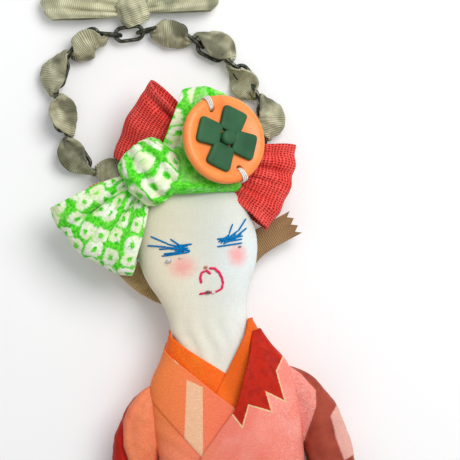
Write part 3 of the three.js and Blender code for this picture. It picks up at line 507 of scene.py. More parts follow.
def sleeve_silk(side):
    """The shoulder's cloth over the sleeve's own, with a pale patch on the right sleeve, whose own cloth is a darker
    brown-red that is partly painted shade.
    """
    n = Nodes("coral_sleeve_silk" if side < 0 else "pink_sleeve_silk")
    where = n.place()
    cloud, leaf = n.noise(70.0), n.leaves(300.0, 0.4)
    upper_a, upper_b, leaf_tone, leaf_strength, lower_a, lower_b = SLEEVE_TONES[side]
    upper = n.mix(n.times(leaf, leaf_strength), n.tint(upper_a, cloud, 0.4, 0.7, upper_b), leaf_tone)
    # the sleeve's own cloth; on the right sleeve its darker brown-red is partly painted shade
    lower = n.tint(lower_a, cloud, 0.4, 0.7, lower_b)
    if side > 0:
        patch = n.plus(n.inside(where, SLEEVE_PATCH), n.times(n.noise(500.0), 0.001))
        lower = n.tint(lower, patch, 0.0002, 0.0012, "F6BDAF", 0.85)
    lower = n.tint(lower, n.axis(1, where), 0.0, -0.02, n.mix(0.5, lower, upper))
    return n.silk(n.tint(lower, n.inside(where, SHOULDER_CLOTH[side]), -0.0003, 0.0001, upper), leaf)


def pink_panel():
    """Pink silk of the right front, with a red zigzag lapel edged in cream."""
    n = Nodes("pink_silk_front")
    where = n.place()
    x, y = n.axis(0, where), n.axis(1, where)
    leaf = n.leaves(330.0, 0.7)
    base = n.tint("F68472", n.noise(70.0, 2.0), 0.4, 0.65, "FA9686")
    base = n.tint(base, x, 0.004, -0.016, "F28664")
    base = n.mix(n.times(n.times(leaf, n.steps(x, 0.012, 0.024)), 0.42), base, "FBC3BB")
    base = n.tint(base, y, 0.01, -0.03, "F2836A")
    lapel = n.inside(where, LAPEL)
    for left, tip, right in TEETH:
        tooth = n.calc("MINIMUM", n.beside(where, left, tip), n.beside(where, tip, right))
        lapel = n.calc("MAXIMUM", lapel, tooth)
    lapel = n.plus(lapel, n.times(n.minus(n.noise(1400.0), 0.5), 0.0008))
    base = n.tint(base, lapel, -0.0008, -0.0004, "EBCB9A")
    base = n.tint(base, lapel, -0.0002, 0.0001, n.tint("C01C02", n.noise(300.0), 0.4, 0.65, "AA1200"))
    return n.silk(base, leaf, 0.3)


def orange_silk():
    """The inner collar's silk, darker and with darker leaves on its right band."""
    n = Nodes("orange_silk")
    leaf, right = n.leaves(420.0, 0.25), n.steps(n.axis(0), 0.0, 0.007)
    base = n.mix(right, n.tint("FF5E00", n.noise(90.0), 0.35, 0.7, "FF740F"), "F06810")
    return n.silk(n.mix(n.times(leaf, 0.45), base, n.mix(right, "FF9238", "DA4A08")), leaf)


def sash_cloth():
    n = Nodes("sash_cloth")
    ribs, leaf = n.bands(0.0011, "Y", n.place(), 0.4), n.leaves(160.0, 0.9)
    base = n.mix(n.times(leaf, 0.55), n.tint("3C6B3C", ribs, 0.2, 0.8, "55864F"), "C9B46A")
    return n.finish(base, n.node("MapRange", {0: leaf, 3: 0.7, 4: 0.4}),
                    Normal=n.bump(n.plus(ribs, leaf), 0.00015, 0.4), Specular_IOR_Level=0.25, Sheen_Weight=0.05)


def dotted_green(name, dots=1.0, pitch=8.0, seed=0.0, edge=None):
    """Tie-dyed crinkled silk: pale rounded rings with a dot in each, on bright green. The rings are as pale as dots
    says, and wholly pale left of an edge."""
    n = Nodes(name)
    place = n.place(uv=True, offset=(seed, seed * 0.6, 0), rotation=(0, 0, 0.25))
    moved = n.shaken(n.shaken(place, place, 900.0, 3.0, 0.0022), place, 150.0, 2.0, 0.0040)
    flat = n.node("Mapping", {0: moved, 3: (1, 1, 0)})
    cell = n.node("TexVoronoi", {"Vector": flat, "Scale": 1 / (pitch * MM), "Randomness": 0.42, "Exponent": 3.2},
                  distance="MINKOWSKI", feature="F1", voronoi_dimensions="2D")
    ring = n.times(n.steps(cell, 0.09, 0.19), n.steps(cell, 0.49, 0.36))
    cloud, crinkle = n.noise(120.0, 3.0, place), n.noise(700.0, 4.0, place, 0.65)
    green = n.tint("35B81A", crinkle, 0.38, 0.62, "6BEA38")
    green = n.tint(green, cloud, 0.5, 0.75, "A0F06E", 0.5)
    pale = n.tint("F6F8EA", cloud, 0.35, 0.65, "E4EDBC")
    pale = n.tint(pale, crinkle, 0.55, 0.35, "A7DB8A", 0.45)
    share = dots
    if edge is not None:
        share = n.calc("MAXIMUM", dots, n.steps(n.axis(0, n.place(uv=True)), edge + 0.001, edge - 0.001))
    height = n.plus(crinkle, n.times(n.steps(cell, 0.5, 0.0), 0.8 * dots))
    return n.finish(n.mix(n.times(ring, share), green, pale), 0.78, Normal=n.bump(height, 0.0006, 0.7),
                    Specular_IOR_Level=0.15, Sheen_Weight=0.05, Sheen_Roughness=0.5)


def knitted_red():
    """Open knitted ribbon: rows of small openings between red stitches, painted dark red as the shade inside the loop
    seen through them.
    """
    n = Nodes("knitted_red")
    place = n.place(uv=True)
    moved = n.shaken(place, place, 260.0, 2.0, 0.0018)
    rows, stitches = n.bands(0.00145, "Y", moved), n.bands(0.0011, "X", moved)
    hole = n.times(n.steps(rows, 0.75, 0.3), n.steps(stitches, 0.55, 0.2))
    base = n.tint("EA3B33", n.noise(80.0, 3.0, place), 0.35, 0.7, "FA5A52")
    # the openings are painted dark red as the shade inside the loop seen through them; the cloth is not cut
    base = n.mix(n.times(hole, 0.9), n.tint(base, rows, 0.6, 1.0, "FF7D74", 0.3), "96170F")
    height = n.minus(n.plus(rows, n.times(stitches, 0.5)), n.times(hole, 1.5))
    return n.finish(base, 0.82, Normal=n.bump(height, 0.0004, 0.8), Specular_IOR_Level=0.1, Sheen_Weight=0.04)


def grosgrain(name, light, dark, shade, pitch, far=None, uneven=0.0):
    """Ribbon with cross ribs, with painted shade in the rib grooves, in patches as strong as uneven asks, and toward
    the doll's right in a far colour.
    """
    n = Nodes(name)
    place = n.place(uv=True)
    ribs = n.bands(pitch * MM, "Y", place, 0.3)
    # cloudy tone between dark and light, which on the strap partly stands for painted highlights and painted shade in
    # the ribbon's hollows
    base = n.tint(dark, n.noise(110.0, 2.0, place), 0.35, 0.68, light)
    # patches of painted shade, as strong as uneven asks
    base = n.tint(base, n.noise(85.0, 1.0), 0.5, 0.34, shade, uneven)
    # painted shade toward the doll's right, in the far colour
    if far:
        base = n.tint(base, n.axis(0), 0.005, 0.03, far)
    # painted shade in the grooves between the ribs
    base = n.tint(base, ribs, 0.6, 0.05, shade, 0.5 - 0.3 * uneven)
    height = n.plus(ribs, n.times(n.threads(4200, 900, 1, uv=True), 0.3))
    return n.finish(base, 0.62, Normal=n.bump(height, 0.0005, 0.75), Specular_IOR_Level=0.25, Sheen_Weight=0.08,
                    Sheen_Roughness=0.35)


def old_metal():
    n = Nodes("antique_chain")
    wear = n.noise(420.0, 4.0)
    rough = n.node("MapRange", {0: wear, 1: 0.3, 2: 0.7, 3: 0.5, 4: 0.3})
    return n.finish(n.tint("2C2F27", wear, 0.42, 0.66, "5B5D4E"), rough,
                    Normal=n.bump(n.noise(1500.0), 0.00008, 0.4), Metallic=0.85)


def plastic(name, light, dark, rough, coat, bump, scatter, gloss):
    n = Nodes(name)
    grain = n.plus(n.noise(900.0), n.times(n.noise(150.0), 3.0))
    return n.finish(n.tint(light, n.noise(90.0), 0.35, 0.7, dark), rough, Normal=n.bump(grain, 0.0001, bump),
                    Coat_Weight=coat, Coat_Roughness=0.25, Subsurface_Weight=scatter, Subsurface_Scale=0.002,
                    Specular_IOR_Level=gloss)


def thread(name, light, dark):
    n = Nodes(name)
    strands = n.noise(1.0, 3.0, n.place((2600, 2600, 2600)))
    return n.finish(n.tint(dark, strands, 0.4, 0.65, light), 0.8, Normal=n.bump(strands, 0.0001, 0.5),
                    Specular_IOR_Level=0.1)


def glass_bead(name, light, dark, see_through):
    n = Nodes(name)
    return n.finish(n.tint(light, n.noise(800.0), 0.4, 0.6, dark), 0.08, Transmission_Weight=see_through,
                    Coat_Weight=0.5, IOR=1.5)


# Sizes shared with the CAD source

HEM_Y, NECK_Y, BODY_HEIGHT = -76.0, 80.0, 156.0
SKIRT_HALF_WIDTH, SKIRT_HALF_DEPTH, WAIST_HEIGHT = 38.0, 11.0, 20.2
HEAD_HALF_WIDTH, HEAD_HALF_DEPTH, HEAD_MIDDLE = 25.3, 10.0, 19.5
HEAD_BOTTOM, HEAD_HEIGHT = 56.0, 91.0
CROWN_Y = HEAD_BOTTOM + HEAD_HEIGHT
BODY_SQUARENESS, HEAD_SQUARENESS = 2.3, 2.2
CLOTH, GAP = 1.4, 0.3
FIRST_LAYER = GAP + 0.2 * CLOTH
SECOND_LAYER = FIRST_LAYER + CLOTH + GAP
SASH_LAYER = SECOND_LAYER + CLOTH + 2 * GAP
KIMONO_TOP = NECK_Y - 4
LINKS, WIRE, LINK_WIDTH = 25, 1.7, 7.4
BODY = table_of([  # share of the height, then shares of the skirt's width and depth and of the waist's height
    [0, 1, 1, 0.66], [0.12, 0.94, 0.99, 0.71], [0.3, 0.82, 0.95, 0.87], [0.42, 0.71, 0.88, 1], [0.56, 0.7, 0.87, 1],
    [0.7, 0.74, 0.92, 0.98], [0.82, 0.74, 0.92, 0.97], [0.88, 0.68, 0.89, 0.965], [0.93, 0.55, 0.83, 0.965],
    [0.965, 0.475, 0.78, 0.965], [1, 0.42, 0.72, 0.965],
])
HEAD = table_of([  # share of the height, then shares of the head's width and depth
    [0, 0.58, 0.84], [0.12, 0.62, 0.83], [0.26, 0.64, 0.8], [0.34, 0.67, 0.83], [0.42, 0.76, 0.89],
    [0.52, 0.92, 0.97], [0.63, 1, 1], [0.73, 0.96, 1], [0.82, 0.85, 0.95], [0.9, 0.66, 0.83], [0.96, 0.42, 0.62],
    [1, 0.12, 0.22],
])


def on_head(across, up, front):
    """A place about the crown's middle, in shares of the head's half width and half depth."""
    return vec(across * HEAD_HALF_WIDTH, CROWN_Y + up * HEAD_HALF_WIDTH, HEAD_MIDDLE + front * HEAD_HALF_DEPTH)


def head_ring(y, angle, off=0.0):
    """Points round the head at a place along it, a distance off its skin."""
    width, depth = smooth_table(HEAD, (y - HEAD_BOTTOM) / HEAD_HEIGHT)
    x, z = rounded(angle, HEAD_SQUARENESS)
    return np.stack([x * (width * HEAD_HALF_WIDTH + off), np.full_like(x, y),
                     HEAD_MIDDLE + z * (depth * HEAD_HALF_DEPTH + off)], -1)


def head_surface(x, y, off=0.0):
    """A point on the front of the head above a place in plan."""
    width, depth = smooth_table(HEAD, (y - HEAD_BOTTOM) / HEAD_HEIGHT)
    share = np.clip(abs(x) / (width * HEAD_HALF_WIDTH), 0, 0.999)
    z = (1 - share ** HEAD_SQUARENESS) ** (1 / HEAD_SQUARENESS)
    return vec(x, y, HEAD_MIDDLE + z * depth * HEAD_HALF_DEPTH + off)


def body_point(y, angle, off):
    """Points of the body at a place along it and angles from +X towards the front, a distance off its skin."""
    width, depth, middle = smooth_table(BODY, (y - HEM_Y) / BODY_HEIGHT)
    x, z = rounded(np.asarray(angle, float), BODY_SQUARENESS)
    x = x * (width * SKIRT_HALF_WIDTH + off)
    z = middle * WAIST_HEIGHT + z * (depth * SKIRT_HALF_DEPTH + off)
    return np.stack([x, np.full_like(x, y), z], -1)


def front_angle(y, x, off):
    """The angle at which the body's front lies below a place across it."""
    width = smooth_table(BODY, (y - HEM_Y) / BODY_HEIGHT)[0]
    share = np.clip(x / (width * SKIRT_HALF_WIDTH + off), -1, 1)
    return math.acos(np.sign(share) * abs(share) ** (BODY_SQUARENESS / 2))


# Head

def make_head():
    angle = turns(96)
    rings = np.array([head_ring(y, angle) for y in np.linspace(HEAD_BOTTOM, CROWN_Y, 91)])
    x, y, z = np.moveaxis(rings, -1, 0)
    # a stitched side seam, soft dents where the stuffing gives, and creases where the neck enters the collar
    seam = bell(z - HEAD_MIDDLE, 0.45) * (0.35 + 0.1 * np.sin(y * TAU / 1.6))
    neck = smoothstep(y, 92, 76) * smoothstep(y, 60, 70) * smoothstep(z, HEAD_MIDDLE, HEAD_MIDDLE + 4)
    crease = 0.28 * neck * np.sin(0.9 * x + 1.5 * np.sin(0.25 * y))
    dents = 0.22 * ripple(rings, 26, 3) + 0.06 * ripple(rings, 7, 4)
    obj = loft("doll_head", rings + outward(rings * LEVEL, UP * HEAD_MIDDLE) * (dents - seam + crease)[..., None])
    cover(obj, muslin(), "doll", "linen", "head")


LEFT_LASHES = [  # from x, y to x, y
    (-18.5, 121.5, -11.4, 117.1), (-20.4, 117.9, -12.2, 116.0), (-10.5, 119.2, -6.6, 115.6),
    (-15.9, 115.6, -8.3, 115.0), (-15.2, 112.6, -3.1, 112.5), (-8.6, 115.9, -1.6, 115.6),
    (-12.4, 117.4, -5.0, 114.4), (-12.6, 116.0, -4.2, 113.6), (-11.4, 115.0, -3.4, 114.2),
    (-9.6, 114.0, -2.8, 113.2), (-14.2, 113.4, -6.2, 113.0), (-7.0, 116.2, -3.0, 112.6),
    (-8.4, 115.4, -3.4, 115.2), (-9.8, 116.4, -5.4, 112.9),
]
RIGHT_LASHES = [
    (16.3, 121.4, 14.0, 117.2), (22.1, 122.6, 17.9, 117.8), (21.8, 118.7, 16.6, 115.7), (19.4, 116.6, 12.6, 114.9),
    (19.3, 114.4, 11.4, 114.4), (8.2, 112.9, 19.0, 112.8), (18.2, 118.2, 11.0, 114.4), (17.0, 116.8, 9.6, 115.2),
    (16.2, 115.6, 8.6, 116.0), (14.4, 117.4, 9.8, 113.8), (17.6, 115.6, 10.8, 113.6), (13.0, 116.4, 9.0, 114.6),
    (19.8, 115.6, 14.0, 115.6),
]
MOUTH = [(3.6, 104.6), (5.9, 104.3), (7.5, 102.3), (8.3, 99.6), (8.4, 97.2), (7.6, 95.2), (5.6, 94.5), (3.6, 94.4),
         (1.7, 94.6), (-2.1, 94.6)]
NOSE = [(-0.5, 98.8), (-0.7, 101.0), (-0.1, 103.0), (1.3, 104.1), (2.7, 103.9), (3.9, 102.0)]
STITCH, STITCH_OVERLAP, STRAND_ASIDE = 2.3, 0.12, (-0.16, 0.2)
BEAD_RING, BEAD_WALL = 0.58 * 0.62, 0.52  # shares of a bead's radius
BEADS = [  # name, x, y, radius, two tones and how much light it lets through
    ("bead_clear_large", -12.3, 110.2, 1.45, ("FBFBFB", "C9D2D6", 0.35)),
    ("bead_clear_small", -7.3, 110.7, 0.75, ("FFFFFF", "D4DADC", 0.35)),
    ("bead_coral", 2.4, 105.2, 0.95, ("E08C5A", "C96A44", 0.2)),
    ("bead_brown", 1.6, 94.7, 1.3, ("7A3B3A", "54201F", 0.15)),
    ("bead_white", 3.9, 94.4, 1.0, ("F7F5F2", "D9D6D2", 0.1)),
    ("bead_smoke", 17.7, 111.4, 0.8, ("A9B7BE", "7B8B94", 0.3)),
]


def stitches(name, lines, radius, material):
    """Straight stitches on the face, each a thread that dips into the cloth at its ends."""
    parts = []
    for k, (ax, ay, bx, by) in enumerate(lines):
        count = max(3, int(math.dist((ax, ay), (bx, by)) / 1.2))
        points = []
        for t in np.arange(count + 1) / count:
            rise = 0.12 + radius * (0.9 * min(1.0, 6 * t, 6 * (1 - t)) - 0.7 + 0.22 * (k % 3))
            points.append(head_surface(lerp(ax, bx, t), lerp(ay, by, t), rise))
        parts.append(tube(f"{name}_{k}", points, radius, sides=7, samples=4))
    cover(joined(name, parts), material, "doll", "linen")


def make_face():
    blue = thread("blue_thread", "0A8CCB", "035F9E")
    pink = thread("pink_thread", "F0486E", "D02A54")
    stitches("lashes_left", LEFT_LASHES, 0.36, blue)
    stitches("lashes_right", RIGHT_LASHES, 0.36, blue)
    lines = []
    for path in (MOUTH, NOSE):
        curve = Curve([(x, y, 0) for x, y in path])
        count = int(curve.length / STITCH)
        for i in range(count):
            a, b = curve.at((i - STITCH_OVERLAP) / count), curve.at((i + 1 + STITCH_OVERLAP) / count)
            lines += [(a[0] + s, a[1] + 0.6 * s, b[0] + s, b[1] + 0.6 * s) for s in STRAND_ASIDE]
    stitches("mouth_and_nose", lines, 0.38, pink)


def make_beads():
    for name, x, y, radius, look in BEADS:
        centre = head_surface(x, y, 0.55 * radius)
        rings = []
        for a in turns(24):
            out = unit(vec(math.cos(a), 0.25 * math.sin(a), math.sin(a)))
            rings.append(circle(centre + out * BEAD_RING * radius, BEAD_WALL * radius, out, vec(0, 1, 0), turns(14)))
        cover(loft(name, rings, closed=True), glass_bead(name + "_glass", *look), "doll", "linen")


# Cloth forms

def cloth_uv(grid):
    """Cloth places in millimetres for a grid: across and along it, by its own lengths."""
    across = np.cumsum(np.linalg.norm(np.diff(grid, axis=1), axis=2), 1)
    across = np.concatenate([np.zeros((len(grid), 1)), across], 1)
    along = np.cumsum(np.linalg.norm(np.diff(grid, axis=0), axis=2), 0)
    along = np.concatenate([np.zeros((1, grid.shape[1])), along], 0)
    u = (across / np.maximum(across[:, -1:], 1e-6) - 0.5) * across[:, -1].max()
    v = np.repeat(along.mean(1, keepdims=True), grid.shape[1], 1)
    return np.stack([u, v], 2)


def folded_loop(root, tip, root_width, tip_width, height, bulge, roll, pleats, pleat_depth, rows, columns, creases,
                seed, wrinkle):
    """A grid and its cloth places for a loop of cloth that leaves its root, turns at its tip and comes back.

    Creases are [place at the root, place at the tip, width, depth], in shares of the half width across the cloth
    and millimetres of depth.
    """
    length = np.linalg.norm(tip - root)
    along = (tip - root) / length
    across = unit(np.cross(along, UP))
    across = across * math.cos(roll) + np.cross(along, across) * math.sin(roll)
    up = unit(np.cross(across, along))
    turn = turns(rows)[:, None]
    u = np.linspace(-1, 1, columns + 1)[None, :]
    share = (1 - np.cos(turn)) / 2
    layer = -np.sin(turn) * height * lerp(0.36, 1, share) / 2
    out_along, out_up = -np.cos(turn), -np.sin(turn) * 1.36
    size = np.hypot(out_along, out_up)
    half = lerp(root_width, tip_width, share**0.8) / 2
    off = pleat_depth * (1 - 0.55 * share) * np.cos(pleats * math.pi * u + 0.8 * np.sin(2.3 * u + seed))
    for at_root, at_tip, width, depth in creases:
        off = off - depth * bell(u - lerp(at_root, at_tip, share), width) * (1 - 0.92 * share**3)
    reach = share * length + bulge * (1 - u**2) * share + out_along / size * off
    grid = root + reach[..., None] * along + (u * half)[..., None] * across
    grid = grid + (layer + out_up / size * off)[..., None] * up
    grid = grid + (wrinkle * ripple(grid, 9, seed) * (0.4 + 0.6 * share))[..., None] * up
    steps = np.linalg.norm(np.roll(grid, -1, 0) - grid, axis=2).mean(1)
    v = np.concatenate([[0], np.cumsum(steps)[:-1]])
    return grid, np.stack(np.broadcast_arrays(u * tip_width / 2, v[:, None]), 2)


def make_loop(name, material, body, slot, node, thickness, held, rests_on, *form, **more):
    """A folded loop, covered."""
    grid, uv = folded_loop(*form, **more)
    obj = shell(name, grid, uv, thickness, wrap_rows=True)
    cover(obj, material, body, slot, node)


def bolster(name, path, profile, width=1.0, depth=1.0, steps=90, sides=90, folds=0, fold_share=0.0, wrinkle=0.0,
            size=8, seed=1, squareness=2.4, gather=0.0, gathers=0, shape=None):
    """A soft stuffed piece along a path. Profile rows are [share along, share of the width, share of the depth]."""
    curve = Curve(path)
    table = np.array(profile, float)
    angle = turns(sides)
    u, v = rounded(angle, squareness)
    rings = []
    for share in np.arange(steps + 1) / steps:
        across = unit(np.cross(curve.tangent(share), UP))
        normal = unit(np.cross(across, curve.tangent(share)))
        half_width = np.interp(share, table[:, 0], table[:, 1]) * width / 2
        half_depth = np.interp(share, table[:, 0], table[:, 2]) * depth / 2
        swell = 1 + (v > 0) * fold_share * np.cos(folds * math.pi * u + 0.6 * math.sin(4 * share + seed))
        pull = 1 - gather * (0.5 + 0.5 * np.cos(gathers * angle + seed)) * abs(2 * share - 1) ** 1.5
        rings.append(curve.at(share) + (u * half_width * pull)[:, None] * across
                     + (v * half_depth * swell * pull)[:, None] * normal)
    rings = np.array(rings)
    middle = rings.mean(1, keepdims=True)
    uneven = wrinkle * ripple(rings, size, seed) + 0.4 * wrinkle * ripple(rings, size / 3, seed + 1)
    rings = rings + outward(rings, middle) * uneven[..., None]
    if shape is not None:
        rings = shape(rings)
    along = np.cumsum(np.linalg.norm(np.diff(middle[:, 0], axis=0, prepend=middle[:1, 0]), axis=1))
    around = np.abs(((angle / TAU + 0.25) % 1) - 0.5)
    ring = rings[steps // 2]
    girth = np.linalg.norm(ring - np.roll(ring, -1, 0), axis=1).sum()
    return loft(name, rings, np.stack(np.broadcast_arrays(around * girth, along[:, None]), 2))


# Body and kimono

# edges of the two fronts, as [share of the body's height, share of the skirt's half width]
UNDER_EDGE = vec([0, 0.5], [0.7, 0.42], [0.74, 0.3], [0.778, 0.14], [0.825, -0.04], [0.952, -0.495], [1, -0.5])
OVER_EDGE = vec([0, -0.62], [0.55, -0.55], [0.626, -0.4], [0.675, -0.268], [0.778, 0.134], [0.87, 0.287],
                [0.974, 0.45], [1, 0.47])
# the collar's folds beside the neck, as [y, x] in millimetres
LEFT_COLLAR_FOLD = vec([46.0, 19.0], [59.7, 3.9], [72.5, -10.8], [78.1, -16.4], [81.0, -17.4])
RIGHT_COLLAR_FOLD = vec([42.0, -9.6], [45.0, -7.3], [52.7, -1.5], [75.0, 14.4], [81.0, 16.6])
SIDE_LAP, SEAM = 0.12, 0.003  # radians that the fronts reach round the sides, and of the gap at the side seam
SASH_HALF_HEIGHT = 17
CHEST_HEIGHT = 17  # of the torso's middle, from which its dents are pushed in


def make_torso():
    """The stuffed body, with a rim that goes down round the neck inside the collar."""
    angle = turns(72)
    skin = np.array([body_point(y, angle, -0.9) for y in np.linspace(-64.3, 59.2, 41)])
    dents = 0.3 + 0.3 * ripple(skin, 22, 8)
    skin = skin - outward(skin * LEVEL, UP * CHEST_HEIGHT) * dents[..., None]
    rim = [head_ring(y, angle, off) for y, off in ((59.4, 0.5), (57.6, 0.5), (55.4, 0.4))]
    obj = loft("doll_torso", np.concatenate([skin, rim]))
    cover(obj, torso_cotton(), "doll", "stuffing", "torso_core")


def edge_x(edge, y):
    return np.interp((y - HEM_Y) / BODY_HEIGHT, edge[:, 0], edge[:, 1]) * SKIRT_HALF_WIDTH


def back_lift(y, angle):
    """Soft waves, and a rise to the right front's layer at the side seam."""
    waves = 0.25 * np.sin(5 * angle + 0.05 * y) * smoothstep(abs(y), SASH_HALF_HEIGHT, 40)
    return waves + (SECOND_LAYER - FIRST_LAYER) * smoothstep(angle, TAU - 0.7, TAU - SIDE_LAP)


def over_lift(y, angle):
    """Long folds above and below the sash that keep clear of it."""
    opened = smoothstep(abs(y) - SASH_HALF_HEIGHT - 1.5, 0, 17) * smoothstep(angle, 0, 0.5)
    slant = 5 * (y - HEM_Y) / BODY_HEIGHT if y > 0 else 0
    fold = (1 + np.cos(TAU * 3.5 * (angle / math.pi) + slant)) / 2
    return 1.5 * opened * fold + 0.25 * opened * np.sin(9.0 * angle + 0.15 * y)


def under_lift(y, angle):
    """The collar piece of the left front stands a step above the rest, and the cloth wrinkles beside it."""
    x = body_point(y, angle, SECOND_LAYER)[..., 0]
    a, b = vec(*COLLAR_LINE[0]), vec(*COLLAR_LINE[1])
    d = unit(b - a)
    inner = d[1] * (x - a[0]) - d[0] * (y - a[1])
    step = 0.5 * smoothstep(inner, -0.25, 0.25) * smoothstep(y, 12, 20)
    return step + 0.12 * np.sin(0.7 * y + 0.5 * x) * smoothstep(inner, 0.5, -4)


def collar_grid(edge, fold, way, low_off, high_off):
    """A collar band folded double: out from beneath the front's edge, round its fold and back underneath."""
    rows, columns = 90, 36
    grid = np.zeros((rows + 1, columns + 1, 3))
    for r, y in enumerate(np.linspace(43.0, NECK_Y + 1.2, rows + 1)):
        near, far = edge_x(edge, y) + way * 3.5, np.interp(y, fold[:, 0], fold[:, 1])
        rest = lerp(low_off, high_off, smoothstep(y, 60, 76))
        for c, turn in enumerate(np.linspace(-1, 1, columns + 1)):
            reach = min(1.0, (1 - abs(turn)) / 0.92)
            off = rest - 0.3 * math.tanh(turn * 8) + 0.25 * math.sin(math.pi * reach) * (turn < 0)
            grid[r, c] = body_point(y, front_angle(y, lerp(near, far, reach), rest), off)
    grid[..., 2] += 0.15 * ripple(grid, 7, 12)
    return grid


def make_kimono():
    half, back_end = CLOTH / 2, SIDE_LAP + SEAM
    panels = (
        ("kimono_back_panel", coral_back, "coral_silk", "kimono_back", "doll_torso", 130, 84, FIRST_LAYER + half,
         1.0, lambda y: (math.pi + back_end, TAU - back_end), back_lift),
        ("kimono_left_front", coral_panel, "coral_silk", "kimono_front_under", "doll_torso", 200, 100,
         FIRST_LAYER + half - 0.1, 0.9,
         lambda y: (front_angle(y, edge_x(UNDER_EDGE, y), FIRST_LAYER), math.pi + SIDE_LAP), under_lift),
        ("kimono_right_front", pink_panel, "pink_silk", "kimono_front_over", "kimono_left_front", 200, 120,
         SECOND_LAYER + half, 0.9,
         lambda y: (-SIDE_LAP, front_angle(y, edge_x(OVER_EDGE, y), SECOND_LAYER)), over_lift),
    )
    for name, silk, slot, node, under, rows, columns, off, thickness, span, lift in panels:
        grid = np.zeros((rows + 1, columns + 1, 3))
        for r, y in enumerate(np.linspace(HEM_Y, KIMONO_TOP, rows + 1)):
            angle = np.linspace(*span(y), columns + 1)
            grid[r] = body_point(y, angle, off + lift(y, angle))
        obj = shell(name, grid, cloth_uv(grid), thickness)
        cover(obj, silk(), "doll", slot, node)
    orange = orange_silk()
    for name, node, form in (
        ("inner_collar_left", "inner_collar_under", (UNDER_EDGE, LEFT_COLLAR_FOLD, -1, -1.1, 0.9)),
        ("inner_collar_right", "inner_collar_over", (OVER_EDGE, RIGHT_COLLAR_FOLD, 1, -0.1, 1.7)),
    ):
        grid = collar_grid(*form)
        obj = shell(name, grid, cloth_uv(grid), 0.5)
        cover(obj, orange, "doll", "orange_silk", node)


KNOT_HALF_HEIGHT, KNOT_HALF_WIDTH, KNOT_HALF_DEPTH, KNOT_MIDDLE = 19.8, 17.6, 4.5, 4.7


def make_sash():
    """The sash with two tucks round it, and its flat knot at the back, tied in at its middle."""
    grid = []
    for y in np.linspace(-SASH_HALF_HEIGHT, SASH_HALF_HEIGHT, 41):
        tuck = 0.25 * math.sin(y * TAU / 11.3) - 0.3 * bell(abs(y) - 16.6, 0.8)
        grid.append(body_point(y, turns(160), SASH_LAYER + 0.9 + tuck))
    grid = np.array(grid)
    obj = shell("sash_band", grid, cloth_uv(grid), 1.3, wrap_columns=True)
    cloth = sash_cloth()
    cover(obj, cloth, "doll", "sash_silk", "sash")
    rings = []
    x, z = rounded(turns(80), 5.5)
    for share in np.arange(49) / 48:
        y = lerp(-KNOT_HALF_HEIGHT, KNOT_HALF_HEIGHT, share)
        end, tied = 1 - 0.12 * abs(2 * share - 1) ** 8, bell(y, 5)
        fold = 0.22 * np.cos(x * 9 + 0.2 * y) * (z < 0) * (1 - tied)
        rings.append(np.stack([x * KNOT_HALF_WIDTH * (1 - 0.10 * tied) * end, np.full_like(x, y),
                               KNOT_MIDDLE + z * (KNOT_HALF_DEPTH * end + fold)], 1))
    obj = loft("sash_back_knot", rings)
    cover(obj, cloth, "doll", "sash_silk", "sash_knot")


SLEEVE_TOP, SLEEVE_DROP = HEM_Y + 0.855 * BODY_HEIGHT, 73.5
SLEEVE_IN, SLEEVE_OUT, SLEEVE_WIDTH, SLEEVE_DEPTH = 26, 43, 20.0, 14.0
SLEEVE_PROFILE = [[0, 0.34, 0.4], [0.06, 0.56, 0.66], [0.15, 0.82, 0.94], [0.3, 1.0, 1.06], [0.6, 1, 1.06],
                  [0.93, 1.06, 0.9], [1, 0.98, 0.6]]
SLEEVE_ROUTE = [(0, 0, 0.93 * WAIST_HEIGHT), (0.5, 0.17, 0.88 * WAIST_HEIGHT), (0.87, 0.46, 0.68 * WAIST_HEIGHT),
                (1, 1, SLEEVE_DEPTH / 2)]  # share out, share down, height


def inside_distance(corners, x, y):
    """How far inside a convex outline points lie, and less than 0 outside."""
    corners = anticlockwise(corners)
    return np.minimum.reduce([((bx - ax) * (y - ay) - (by - ay) * (x - ax)) / math.dist((ax, ay), (bx, by))
                              for (ax, ay), (bx, by) in zip(corners, corners[1:] + corners[:1])])


def sleeve_steps(side):
    """Raises the shoulder's cloth above the rest of a sleeve, with a crease between them."""
    def shape(rings):
        inside = inside_distance(SHOULDER_CLOTH[side], rings[..., 0], rings[..., 1])
        step = 1.1 * smoothstep(inside, -0.5, 0.5) - 0.5
        rise = step - 0.7 * bell(inside + 0.9, 0.8) + 0.5 * bell(inside - 1.6, 1.2)
        rings[..., 2] += rise * smoothstep(rings[..., 2], 8, 17)
        return rings
    return shape


def make_sleeves():
    for side, name, slot in ((-1, "left", "coral_silk"), (1, "right", "pink_silk")):
        path = [vec(side * lerp(SLEEVE_IN, SLEEVE_OUT, out), SLEEVE_TOP - down * SLEEVE_DROP, height)
                for out, down, height in SLEEVE_ROUTE]
        obj = bolster(f"sleeve_{name}_cloth", path, SLEEVE_PROFILE, SLEEVE_WIDTH, SLEEVE_DEPTH, 110, 96, folds=2,
                      fold_share=0.05, wrinkle=0.4, size=16, seed=20 + side, shape=sleeve_steps(side))
        cover(obj, sleeve_silk(side), f"sleeve_{name}", slot, f"sleeve_{name}")


# Scarf, red bow and button

